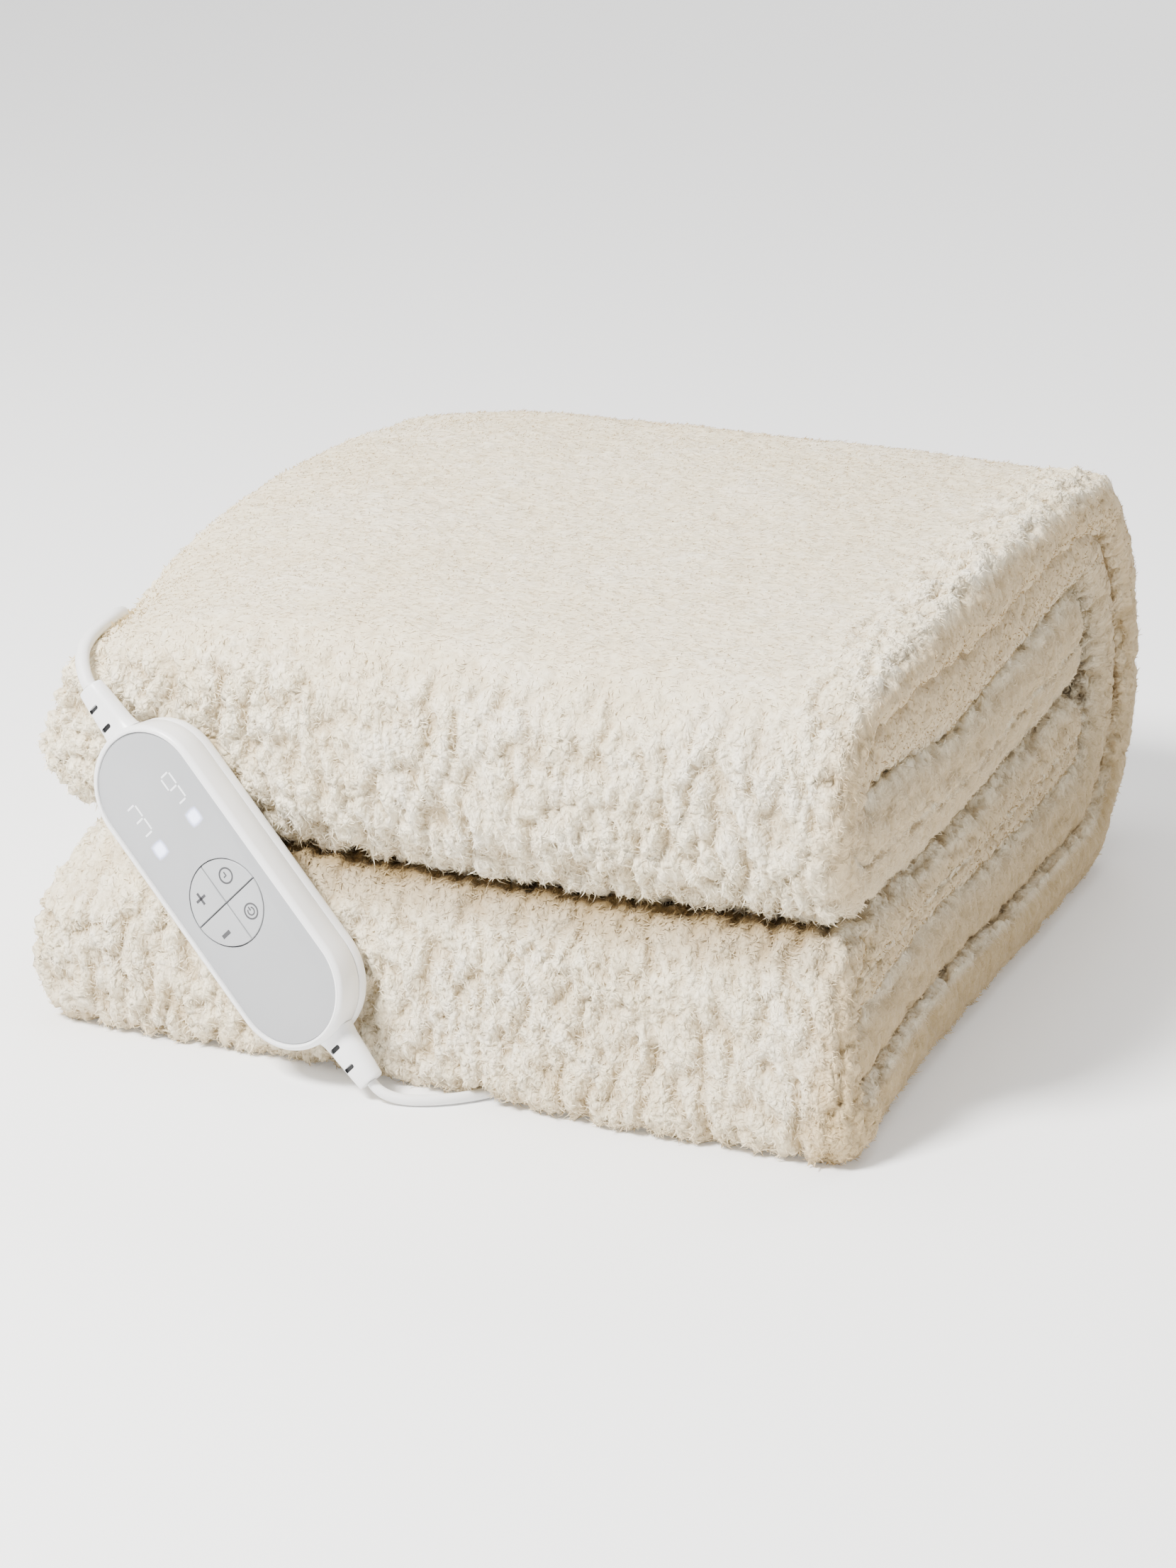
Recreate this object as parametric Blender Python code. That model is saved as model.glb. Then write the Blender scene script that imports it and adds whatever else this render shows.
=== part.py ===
"""Electric heated blanket: fleece cloth doubled and folded into four passes, with a hand controller
leaning on its front, a lead into the cloth, and a mains cord with its plug.

The front runs along +X, the back is +Y and up is +Z. The origin is on the floor under the stack.
Tables are in millimetres, and MM turns them into metres.
"""

import math

import bmesh
import bpy
import numpy as np
from mathutils import Matrix, Vector

MM = 0.001
CLEARANCE = 0.3  # mm between pieces that touch
OVERCUT = 10.0  # mm by which a cutter passes the face it opens

# ---- folded cloth, mm ----
LEFT_END = -201.0
RIGHT_END = 196.0
LEAF_GAP = 1.4  # between the two leaves of the doubled cloth
PASS_GAP = 2.6  # between one pass of the cloth and the next
LEFT_FOLD_REACH = 27.0  # how far the doubled edge takes to round over

# Heights of the creases between the passes, of the split inside the top pass, and of the top.
STACK_COLUMNS = ("y", "low_crease", "middle_crease", "high_crease", "top_split", "top")
STACK_ROWS = (
    (-182.0, 50.0, 96.0, 147.0, 181.0, 198.0),
    (-157.0, 52.0, 95.0, 147.5, 184.0, 203.0),
    (-120.0, 55.0, 93.5, 147.0, 185.0, 206.5),
    (-80.0, 59.5, 92.5, 142.5, 183.0, 208.5),
    (-40.0, 59.0, 93.0, 138.5, 182.0, 210.0),
    (0.0, 57.5, 95.0, 142.0, 183.0, 211.0),
    (40.0, 57.0, 97.0, 146.5, 186.0, 211.5),
    (80.0, 57.0, 99.0, 149.5, 189.0, 211.5),
    (115.0, 57.5, 101.0, 152.0, 189.0, 210.5),
    (150.0, 58.0, 102.0, 155.0, 184.5, 208.0),
)
RUN_STATIONS = (-157.0, -120.0, -80.0, -40.0, 0.0, 40.0, 80.0, 115.0)

# Where the cloth turns back on itself: the centre, how far the inner, split and outer lines reach from
# it, and how square the outer line is above and below (2 is an ellipse).
TURN_COLUMNS = ("y", "z", "inner", "split", "outer", "square_top", "square_bottom")
TURNS = {
    "upper_front": (-157.0, 147.5, 5.0, 32.0, 46.0, 2.35, 2.6),
    "back": (150.0, 105.0, 34.0, 59.0, 84.0, 2.25, 2.1),
    "lower_front": (-182.0, 50.0, 3.0, 16.0, 29.0, 2.2, 3.6),
}
TURN_STEPS = {"upper_front": 9, "back": 12, "lower_front": 9}

# Right-hand hems of the two leaves in each pass: how far each leaf reaches past RIGHT_END, how deep its
# rounding is outside and beside the split, and where its tip is across the leaf (0 is at the split).
HEM_COLUMNS = ("outer_leaf", "inner_leaf", "round_outside", "round_split", "tip")
HEMS = {
    "upper_inner": (-4.0, -3.0, 13.0, 4.0, 0.18),
    "top": (3.0, -3.0, 15.0, 9.0, 0.38),
    "bottom": (4.0, -3.0, 12.0, 5.0, 0.30),
    "lower_inner": (-2.0, -3.0, 13.0, 4.0, 0.18),
}
FREE_END = {"upper_inner": 156.0, "lower_inner": 151.0}  # back ends of the two tucked-in passes
END_ROUNDING = 17.0
END_STEPS = (0.0, 0.35, 0.7, 0.92)  # places along the rounding of a free end, 1 at its tip

# Unevenness: soft pushes of the cloth, each fading out around its place.
PUSH_COLUMNS = ("x", "y", "z", "wide", "deep", "high", "move_x", "move_y", "move_z")
PUSHES = {
    "left_front_shoulder_droops": (-205, -180, 205, 80, 150, 75, 2, 4, -22),
    "left_edge_of_top_droops": (-215, 60, 210, 60, 160, 60, 0, 0, -7),
    "left_back_narrows": (-205, 170, 190, 70, 100, 80, 10, -4, -7),
    "right_back_narrows": (205, 200, 170, 70, 60, 80, -2, -5, -3),
    "left_front_corner_rounds": (-215, -215, 135, 76, 60, 62, 0, 32, 0),
    "lead_presses_shoulder": (-193, -130, 177, 23, 56, 35, 4, 0, -15),
    "upper_left_belly": (-208, -145, 124, 50, 75, 36, -19, 2, -5),
    "lower_left_corner_rounds": (-210, -195, 86, 45, 90, 24, 13, 8, -4),
    "lower_left_belly": (-205, -150, 30, 50, 90, 30, 3, 0, 0),
    "gap_sags_in_middle": (40, -180, 98, 90, 100, 40, 0, 0, -3),
    "right_toe_spreads": (205, -210, 8, 70, 60, 45, 8, -11, 0),
    "front_toe_spreads": (95, -210, 4, 105, 45, 22, 0, -13, 0),
    "right_front_heel": (205, -205, 130, 70, 50, 45, 0, -5, 0),
    "front_belly": (60, -205, 150, 80, 50, 45, 0, -4, 0),
    "lower_hollow": (20, -205, 70, 45, 50, 30, 0, 4, 0),
    "controller_presses_above": (-112, -210, 140, 52, 45, 50, 0, 8, 0),
    "controller_presses_below": (-92, -215, 58, 60, 45, 34, 0, 11, 0),
    "top_dips": (-20, -20, 210, 90, 90, 60, 0, 0, -4),
    "back_left_corner": (-205, 235, 120, 60, 60, 90, 0, -12, 0),
    "back_belly": (60, 240, 100, 110, 60, 60, 0, 3, 0),
    "lower_back_tucks_in": (60, 215, 20, 200, 50, 30, 0, -8, 0),
}
FLOOR_BLEND = 30.0  # mm above the floor over which a push starts to lift the cloth

# ---- hand controller, mm, in its own frame: down its length, across it, out of its face ----
CONTROLLER_PLACE = (-95.1, -221.5, 86.1)  # middle of the face plate
CONTROLLER_DOWN = (0.702, -0.168, -0.692)
CONTROLLER_OUT = (-0.150, -0.985, 0.087)
SHELL_HALF_RUN = 53.5  # from its middle to the centre of each round end
SHELL_RADIUS = 30.5
SHELL_FRONT = 1.0
SHELL_SPLIT = -14.0
SHELL_BACK = -22.0
FRONT_ROUNDING = 2.7
BACK_ROUNDING = 4.0
PLATE_RADIUS = 27.2
PLATE_THICKNESS = 1.5
KEYPAD_CENTRE = 8.3
KEYPAD_RADIUS = 20.0
KEY_TRAVEL = 0.6
KEY_HEIGHT = 0.2  # above the plate
KEY_THICKNESS = 3.6
KEY_WELL_SPARE = 0.4  # below a key that is pressed right in
KEY_WELL_MARGIN = 0.6  # round the keypad
KEY_EDGE = 0.35
ROUND_STEPS = 20  # straight lines in each round end

BOOT_DEPTH = -10.5  # middle of the strain reliefs behind the plate's face
BOOT_NOTCH = 82.2  # where the flat seat for a strain relief is cut
BOOT_SEAT_MARGIN = 0.5
BOOT_LENGTH = 27.5
BOOT_BASE = (9.4, 6.4)  # half width and half thickness
BOOT_TIP = (6.1, 4.9)
BOOT_SLOTS = (7.0, 17.5)  # places of the slots from the base
BOOT_SLOT_SIZE = (2.2, 6.5, 2.4)  # along the strain relief, across it and deep
BOOT_SLOT_SHIFT = 2.2  # towards one side on the front, and the other side behind
STRAIGHT = 5.0  # how far a lead runs straight from the piece it leaves

# ---- lead from the controller into the cloth, mm ----
LEAD_DIAMETER = 6.5
LEAD_ROUTE = (
    (-177.2, -189.0, 168.5),
    (-179.4, -185.8, 171.4),
    (-181.4, -181.4, 173.6),
    (-183.0, -175.8, 175.2),
    (-184.2, -168.6, 176.2),
    (-185.4, -156.0, 176.9),
    (-186.8, -142.0, 176.8),
    (-190.0, -127.4, 175.0),
    (-195.6, -114.0, 170.4),
    (-202.8, -102.6, 162.4),
    (-209.6, -93.6, 150.6),
    (-214.6, -86.6, 135.0),
    (-217.6, -81.4, 116.0),
    (-219.0, -77.4, 94.0),
    (-219.6, -73.6, 70.0),
    (-220.0, -68.8, 46.0),
    (-220.6, -61.4, 26.0),
    (-221.2, -50.4, 12.4),
    (-221.4, -36.4, 5.2),
    (-221.2, -21.0, 3.7),
    (-220.2, -5.4, 5.2),
    (-218.0, 9.8, 11.4),
    (-214.4, 23.2, 22.4),
    (-209.6, 34.4, 35.2),
    (-204.6, 44.8, 47.2),
    (-200.8, 56.0, 54.6),
)
SLEEVE_MOUTH = (-196.6, 74.0, 57.0)
SLEEVE_HEADING = (0.24, 0.97, 0.0)
SLEEVE_LENGTH = 26.0
SLEEVE_RADII = (4.2, 5.0)

# ---- mains cord and plug, mm ----
CORD_DIAMETER = 5.0
CORD_FLOOR = 2.8  # height of the cord's middle on the floor
CORD_ROUTE = (
    (-7.0, -231.0, 3.5),
    (-0.6, -230.0, CORD_FLOOR),
    (5.8, -227.9, CORD_FLOOR),
    (11.9, -224.9, CORD_FLOOR),
    (17.8, -221.0, CORD_FLOOR),
    (23.7, -215.9, CORD_FLOOR),
    (29.3, -209.8, CORD_FLOOR),
    (34.6, -202.8, CORD_FLOOR),
    (40.0, -194.0, CORD_FLOOR),
    (50.0, -172.0, CORD_FLOOR),
    (63.0, -130.0, CORD_FLOOR),
    (72.0, -75.0, CORD_FLOOR),
    (76.0, -15.0, CORD_FLOOR),
    (80.0, 50.0, CORD_FLOOR),
    (87.0, 115.0, CORD_FLOOR),
    (94.5, 170.0, CORD_FLOOR),
    (99.5, 215.0, CORD_FLOOR),
    (102.0, 250.0, CORD_FLOOR),
    (102.4, 279.0, CORD_FLOOR),
)
GROOVE_RADIUS = 5.2
COIL_CENTRE = (66.5, 287.0)
COIL_RADIUS = 27.5
COIL_BUNDLE = 7.5  # seven turns, one in the middle and six round it
TAIL_ROUTE = (
    (58.0, 322.6, 3.0),
    (46.0, 322.4, 3.2),
    (34.0, 319.5, 4.2),
    (24.0, 313.0, 5.6),
    (17.5, 304.0, 6.6),
)
PLUG_X = 15.0
PLUG_BACK = 296.0  # y of the plug's strain relief tip, which points back
PLUG_BODY = (36.0, 27.0, 13.6)
PLUG_BOOT_LENGTH = 24.0
PLUG_BOOT_RADII = (5.4, 3.6)
PIN_SPACING = 18.6
PIN_LENGTH = 19.0
PIN_RADIUS = 2.0
PIN_BEVEL = 0.8
PLUG_CORNER = 6.0


# ---- shared helpers ----


def clear_scene():
    for old in list(bpy.data.objects):
        bpy.data.objects.remove(old, do_unlink=True)


def make_collections():
    parts = bpy.data.collections.new("electric_heated_blanket")
    cutters = bpy.data.collections.new("cutters")
    bpy.context.scene.collection.children.link(parts)
    bpy.context.scene.collection.children.link(cutters)
    return parts, cutters


def plain_material(name, colour, roughness, metallic=0.0):
    material = bpy.data.materials.new(name)
    material.use_nodes = True
    shader = material.node_tree.nodes["Principled BSDF"]
    shader.inputs["Base Color"].default_value = (*colour, 1.0)
    shader.inputs["Roughness"].default_value = roughness
    shader.inputs["Metallic"].default_value = metallic
    return material


def object_from(bm, name, collection, material=None, parent=None, place=(0.0, 0.0, 0.0)):
    """Puts a bmesh whose points are in millimetres into the scene as an object."""
    bmesh.ops.recalc_face_normals(bm, faces=bm.faces)
    bmesh.ops.scale(bm, vec=(MM, MM, MM), verts=bm.verts)
    mesh = bpy.data.meshes.new(name)
    bm.to_mesh(mesh)
    bm.free()
    mesh.shade_smooth()
    mesh.set_sharp_from_angle(angle=math.radians(40.0))
    made = bpy.data.objects.new(name, mesh)
    made.location = Vector(place) * MM
    made.parent = parent
    if material:
        mesh.materials.append(material)
    collection.objects.link(made)
    return made


def as_cutter(cutter):
    cutter.hide_render = True
    cutter.display_type = "WIRE"
    return cutter


def cut(target, cutter):
    step = target.modifiers.new("cut_" + cutter.name, "BOOLEAN")
    step.operation = "DIFFERENCE"
    step.solver = "EXACT"
    step.object = cutter


def prism(outline, low, high):
    """A flat outline raised from one height to another."""
    bm = bmesh.new()
    face = bm.faces.new([bm.verts.new((x, y, low)) for x, y in outline])
    raised = bmesh.ops.extrude_face_region(bm, geom=[face])
    moved = [item for item in raised["geom"] if isinstance(item, bmesh.types.BMVert)]
    bmesh.ops.translate(bm, vec=(0.0, 0.0, high - low), verts=moved)
    return bm


def round_edges_at(bm, height, width, segments):
    """Rounds the edges that lie at one height."""
    chosen = [e for e in bm.edges if all(abs(v.co.z - height) < 0.01 for v in e.verts)]
    bmesh.ops.bevel(bm, geom=chosen, offset=width, affect="EDGES", segments=segments, profile=0.5)


def box(low, high):
    bm = bmesh.new()
    bmesh.ops.create_cube(bm, size=1.0)
    size = Vector(high) - Vector(low)
    middle = (Vector(high) + Vector(low)) / 2.0
    bmesh.ops.scale(bm, vec=size, verts=bm.verts)
    bmesh.ops.translate(bm, vec=middle, verts=bm.verts)
    return bm


def smooth_route(points, spacing):
    """Points about one spacing apart on a smooth curve through the given ones."""
    given = np.array(points, float)
    steps = np.linalg.norm(np.diff(given, axis=0), axis=1) ** 0.5
    knots = np.concatenate([[0.0], np.cumsum(steps)])
    at = np.linspace(0.0, knots[-1], 40 * len(given))
    fine = np.stack([smooth_between(knots, given[:, k], at) for k in range(3)], axis=1)
    along = np.concatenate([[0.0], np.cumsum(np.linalg.norm(np.diff(fine, axis=0), axis=1))])
    even = np.linspace(0.0, along[-1], max(2, round(along[-1] / spacing) + 1))
    return np.stack([np.interp(even, along, fine[:, k]) for k in range(3)], axis=1)


def smooth_between(places, values, at):
    """Values at the places asked for, on a smooth curve through the given values."""
    places = np.asarray(places, float)
    values = np.asarray(values, float)
    at = np.atleast_1d(np.asarray(at, float))
    slopes = np.gradient(values, places)
    index = np.clip(np.searchsorted(places, at, side="right") - 1, 0, len(places) - 2)
    width = places[index + 1] - places[index]
    t = np.clip((at - places[index]) / width, 0.0, 1.0)
    start = (2 * t**3 - 3 * t**2 + 1) * values[index] + (t**3 - 2 * t**2 + t) * width * slopes[index]
    finish = (3 * t**2 - 2 * t**3) * values[index + 1] + (t**3 - t**2) * width * slopes[index + 1]
    return start + finish


def lead_from(start, onward, route, finish, before, spacing):
    """A route that leaves its start straight and comes straight to its finish."""
    middle = smooth_route([onward, *route, before], spacing)
    return [start, *middle, finish]


def cone(radii, length, heading, segments):
    """A tapered round piece along a heading, its first radius at its start."""
    bm = bmesh.new()
    bmesh.ops.create_cone(
        bm, cap_ends=True, segments=segments, radius1=radii[0], radius2=radii[1], depth=length
    )
    turn = Vector((0.0, 0.0, 1.0)).rotation_difference(Vector(heading)).to_matrix()
    bmesh.ops.rotate(bm, matrix=turn, verts=bm.verts)
    return bm


def tube(name, points, diameter, collection, material=None, sides_step=2):
    curve = bpy.data.curves.new(name, "CURVE")
    curve.dimensions = "3D"
    curve.bevel_depth = diameter * MM / 2.0
    curve.bevel_resolution = sides_step
    curve.use_fill_caps = True
    spline = curve.splines.new("POLY")
    spline.points.add(len(points) - 1)
    for target, point in zip(spline.points, points):
        target.co = (*(Vector(point) * MM), 1.0)
    made = bpy.data.objects.new(name, curve)
    if material:
        curve.materials.append(material)
    collection.objects.link(made)
    return made


def curve_to_mesh(curve_object, collection):
    """The curve's surface as a mesh object with closed ends, which a cut can use."""
    graph = bpy.context.evaluated_depsgraph_get()
    mesh = bpy.data.meshes.new_from_object(curve_object.evaluated_get(graph))
    bm = bmesh.new()
    bm.from_mesh(mesh)
    bmesh.ops.remove_doubles(bm, verts=bm.verts, dist=1e-6)
    bmesh.ops.recalc_face_normals(bm, faces=bm.faces)
    bm.to_mesh(mesh)
    bm.free()
    made = bpy.data.objects.new(curve_object.name + "_mesh", mesh)
    made.matrix_world = curve_object.matrix_world
    bpy.data.objects.remove(curve_object, do_unlink=True)
    collection.objects.link(made)
    return made


# ---- folded cloth ----


def stack_height(name, y):
    places = [row[0] for row in STACK_ROWS]
    values = [row[STACK_COLUMNS.index(name)] for row in STACK_ROWS]
    return float(smooth_between(places, values, y)[0])


def run_lines(run, y):
    """Heights of a pass's inner face, the split between its leaves and its outer face, at one y."""
    low = stack_height("low_crease", y)
    middle = stack_height("middle_crease", y)
    high = stack_height("high_crease", y)
    half = PASS_GAP / 2.0
    faces = {
        "upper_inner": (high - half, middle + half),
        "top": (high + half, stack_height("top", y)),
        "bottom": (low - half, 0.0),
        "lower_inner": (low + half, middle - half),
    }
    inner, outer = faces[run]
    split = stack_height("top_split", y) if run == "top" else (inner + outer) / 2.0
    return inner, split, outer


def run_section(run, y, fullness=1.0):
    inner, split, outer = run_lines(run, y)
    return {"inner": (y, inner), "split": (y, split), "outer": (y, outer), "hem": HEMS[run], "full": fullness}


def turn_section(turn, below, above, angle, share):
    """One section of a turn: angle is -90 at the pass below and 90 at the pass above."""
    row = dict(zip(TURN_COLUMNS, TURNS[turn]))
    centre_y, centre_z = row["y"], row["z"]
    side = 1.0 if turn == "back" else -1.0
    rises = math.sin(math.radians(angle))
    reaches = max(math.cos(math.radians(angle)), 0.0)
    square = row["square_top"] if rises > 0 else row["square_bottom"]
    powers = {"inner": 2.0, "split": 2.0 + 0.7 * (square - 2.0), "outer": square}
    ends = dict(zip(("inner", "split", "outer"), run_lines(above if rises > 0 else below, centre_y)))
    section = {"full": 1.0}
    for line, power in powers.items():
        height = (ends[line] - centre_z) * abs(rises) ** (2.0 / power)
        section[line] = (centre_y + side * row[line] * reaches ** (2.0 / power), centre_z + height)
    section["hem"] = tuple(a + (b - a) * share for a, b in zip(HEMS[below], HEMS[above]))
    return section


def free_end_sections(run):
    """Sections that round off a free end, from its tip inwards."""
    start = FREE_END[run] - END_ROUNDING
    sections = []
    for step in reversed(END_STEPS):
        sections.append(run_section(run, start + step * END_ROUNDING, math.sqrt(1.0 - step**2)))
    return sections


def turn_sections(turn, below, above, upwards):
    steps = TURN_STEPS[turn]
    shares = [i / steps for i in range(steps + 1)]
    if not upwards:
        shares.reverse()
    return [turn_section(turn, below, above, -90.0 + 180.0 * share, share) for share in shares]


def cloth_sections():
    """Every section of the cloth, from the free end of the upper tucked pass to that of the lower one."""
    forwards = [y for y in reversed(RUN_STATIONS)]
    inner_forwards = forwards[:-1]
    sections = free_end_sections("upper_inner")
    sections += [run_section("upper_inner", y) for y in inner_forwards]
    sections += turn_sections("upper_front", "upper_inner", "top", True)
    sections += [run_section("top", y) for y in RUN_STATIONS[1:]]
    sections += turn_sections("back", "bottom", "top", False)
    sections += [run_section("bottom", y) for y in forwards]
    sections += turn_sections("lower_front", "bottom", "lower_inner", True)
    sections += [run_section("lower_inner", y) for y in RUN_STATIONS]
    sections += reversed(free_end_sections("lower_inner"))
    return sections


LEAF_STEPS = 12
SLIT_STEPS = 5
FOLD_STEPS = 8
TIP_STEPS = 3
HEM_STEPS_OUT = 3
HEM_STEPS_IN = 2
SLIT_MARGIN = 20.0  # mm from the right end to the first shared point of the slit


def outline_of(section):
    """The doubled cloth's outline at a section: pairs of x and a share across it, 1 outside and -1 inside."""
    hem = dict(zip(HEM_COLUMNS, section["hem"]))
    surface = (1.0 + section["full"]) / 2.0
    lost = (1.0 - section["full"]) / 2.0
    fold_x = LEFT_END + LEFT_FOLD_REACH
    split = np.array(section["split"])
    outline = []
    sides = []
    for side, line, reach in ((1, "outer", "outer_leaf"), (-1, "inner", "inner_leaf")):
        thick = np.linalg.norm(np.array(section[line]) - split)
        slit = max(LEAF_GAP / 2.0 / thick, lost)
        tip_share = slit + (surface - slit) * (0.5 + (hem["tip"] - 0.5) * section["full"])
        tip_x = RIGHT_END + hem[reach] - hem["round_outside"] * lost
        sides.append((side, slit, tip_share, tip_x))
    (up, up_slit, up_tip, up_x), (down, down_slit, down_tip, down_x) = sides
    outside, beside = hem["round_outside"], hem["round_split"]

    outline += [(x, up * surface) for x in np.linspace(up_x - outside, fold_x, LEAF_STEPS + 1)]
    for i in range(1, FOLD_STEPS):
        angle = math.pi * i / FOLD_STEPS
        outline.append((fold_x - LEFT_FOLD_REACH * surface * math.sin(angle), surface * math.cos(angle)))
    outline += [(x, down * surface) for x in np.linspace(fold_x, down_x - outside, LEAF_STEPS + 1)]
    outline += hem_outline(down_x, outside, beside, down * surface, down * down_tip, down * down_slit)
    slit_places = np.linspace(RIGHT_END - SLIT_MARGIN, fold_x, SLIT_STEPS + 1)
    outline.append((down_x - beside, down * down_slit))
    outline += [(x, down * down_slit) for x in slit_places]
    tip_reach = max(LEAF_GAP / 2.0, LEFT_FOLD_REACH * lost)
    for i in range(1, TIP_STEPS + 1):
        angle = math.pi * i / (TIP_STEPS + 1)
        share = -down_slit * math.cos(angle) if math.cos(angle) > 0 else -up_slit * math.cos(angle)
        outline.append((fold_x - tip_reach * math.sin(angle), share))
    outline += [(x, up * up_slit) for x in slit_places[::-1]]
    outline.append((up_x - beside, up * up_slit))
    outline += reversed(hem_outline(up_x, outside, beside, up * surface, up * up_tip, up * up_slit))
    return outline


def hem_outline(tip_x, outside, beside, surface, tip, slit):
    """The rounded end of a leaf, from its outer surface round its tip to the slit, ends left out."""
    points = []
    for i in range(1, HEM_STEPS_OUT + 1):
        angle = math.pi / 2.0 * i / HEM_STEPS_OUT
        points.append((tip_x - outside + outside * math.sin(angle), tip + (surface - tip) * math.cos(angle)))
    for i in range(1, HEM_STEPS_IN):
        angle = math.pi / 2.0 * i / HEM_STEPS_IN
        points.append((tip_x - beside + beside * math.cos(angle), tip + (slit - tip) * math.sin(angle)))
    return points


def ring_points(section):
    """The outline at a section, in the scene's axes and millimetres."""
    split = np.array(section["split"])
    outer = np.array(section["outer"])
    inner = np.array(section["inner"])
    points = []
    for x, share in outline_of(section):
        towards = outer if share > 0 else inner
        y, z = split + (towards - split) * abs(share)
        points.append((x, y, z))
    return points


def settled(points):
    """The points after the soft pushes of the cloth's unevenness. What lies on the floor stays on it."""
    points = np.array(points, float)
    moved = points.copy()
    for row in PUSHES.values():
        push = dict(zip(PUSH_COLUMNS, row))
        away = (points - (push["x"], push["y"], push["z"])) / (push["wide"], push["deep"], push["high"])
        weight = np.exp(-(away**2).sum(axis=1))
        lift = np.clip(points[:, 2] / FLOOR_BLEND, 0.0, 1.0)
        shift = np.array((push["move_x"], push["move_y"], push["move_z"]), float)
        moved[:, :2] += weight[:, None] * shift[:2]
        moved[:, 2] += weight * lift**2 * (3.0 - 2.0 * lift) * shift[2]
    return moved


def make_blanket(collection, cutters, material, groove_route):
    rings = [settled(ring_points(section)) for section in cloth_sections()]
    bm = bmesh.new()
    rows = [[bm.verts.new(point) for point in ring] for ring in rings]
    count = len(rows[0])
    for near, far in zip(rows, rows[1:]):
        for k in range(count):
            after = (k + 1) % count
            corners = [near[k], near[after], far[after], far[k]]
            # Facing layers are split along the same diagonal, so that they stay parallel.
            if (near[after].co.x < near[k].co.x) != (far[k].co.y < near[k].co.y):
                corners = corners[1:] + corners[:1]
            bm.faces.new(corners)
    bm.faces.new(rows[0])
    bm.faces.new(rows[-1])
    blanket = object_from(bm, "blanket", collection, material)
    groove = tube("groove", groove_route, 2.0 * GROOVE_RADIUS, cutters)
    cut(blanket, as_cutter(curve_to_mesh(groove, cutters)))
    return blanket


# ---- hand controller ----


def controller_matrix():
    out = Vector(CONTROLLER_OUT).normalized()
    down = Vector(CONTROLLER_DOWN)
    down = (down - down.dot(out) * out).normalized()
    across = out.cross(down)
    turned = Matrix((down, across, out)).transposed().to_4x4()
    return Matrix.Translation(Vector(CONTROLLER_PLACE) * MM) @ turned


def stadium(radius, half_run, steps=ROUND_STEPS):
    """A long outline with round ends, its length along x."""
    outline = []
    for end, start in ((1.0, -90.0), (-1.0, 90.0)):
        for i in range(steps + 1):
            angle = math.radians(start + 180.0 * i / steps)
            outline.append((end * half_run + radius * math.cos(angle), radius * math.sin(angle)))
    return outline


def disc(radius, centre_x, steps=40):
    angles = [2.0 * math.pi * i / steps for i in range(steps)]
    return [(centre_x + radius * math.cos(a), radius * math.sin(a)) for a in angles]


def quarter(radius, along, across, gap, steps=10):
    """A quarter of a disc with its corner by the origin; along and across are 1 or -1."""
    first = math.asin(gap / radius)
    angles = [first + (math.pi / 2.0 - 2.0 * first) * i / steps for i in range(steps + 1)]
    outline = [(gap, gap)] + [(radius * math.cos(a), radius * math.sin(a)) for a in angles]
    outline = [(along * x, across * y) for x, y in outline]
    return outline if along * across > 0 else outline[::-1]


def make_shells(parts, cutters, place, white):
    half_gap = CLEARANCE / 2.0
    body = prism(stadium(SHELL_RADIUS, SHELL_HALF_RUN), SHELL_SPLIT + half_gap, SHELL_FRONT)
    round_edges_at(body, SHELL_FRONT, FRONT_ROUNDING, 4)
    front = object_from(body, "controller_front", parts, white, place)
    body = prism(stadium(SHELL_RADIUS, SHELL_HALF_RUN), SHELL_BACK, SHELL_SPLIT - half_gap)
    round_edges_at(body, SHELL_BACK, BACK_ROUNDING, 3)
    back = object_from(body, "controller_back", parts, white, place)

    recess_floor = -PLATE_THICKNESS - CLEARANCE
    seat = stadium(PLATE_RADIUS + CLEARANCE, SHELL_HALF_RUN)
    recess = prism(seat, recess_floor, SHELL_FRONT + OVERCUT / 2.0)
    cut(front, as_cutter(object_from(recess, "plate_recess", cutters, parent=place)))
    well_floor = KEY_HEIGHT - KEY_THICKNESS - KEY_TRAVEL - KEY_WELL_SPARE
    well = prism(disc(KEYPAD_RADIUS + KEY_WELL_MARGIN, KEYPAD_CENTRE), well_floor, SHELL_FRONT + OVERCUT)
    cut(front, as_cutter(object_from(well, "key_well", cutters, parent=place)))

    wide, thick = BOOT_BASE[0] + BOOT_SEAT_MARGIN, BOOT_BASE[1] + BOOT_SEAT_MARGIN
    for name, end in (("upper", -1.0), ("lower", 1.0)):
        ends = sorted((end * BOOT_NOTCH, end * (BOOT_NOTCH + OVERCUT)))
        notch = box((ends[0], -wide, BOOT_DEPTH - thick), (ends[1], wide, BOOT_DEPTH + thick))
        notch = as_cutter(object_from(notch, "boot_notch_" + name, cutters, parent=place))
        cut(front, notch)
        cut(back, notch)


def make_plate(parts, cutters, place, grey):
    plate = prism(stadium(PLATE_RADIUS, SHELL_HALF_RUN), -PLATE_THICKNESS, 0.0)
    plate = object_from(plate, "controller_plate", parts, grey, place)
    hole = prism(disc(KEYPAD_RADIUS + CLEARANCE, KEYPAD_CENTRE), -OVERCUT, OVERCUT)
    cut(plate, as_cutter(object_from(hole, "keypad_hole", cutters, parent=place)))


KEY_SIDES = {"key_timer": (-1, 1), "key_power": (1, 1), "key_plus": (-1, -1), "key_minus": (1, -1)}


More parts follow.
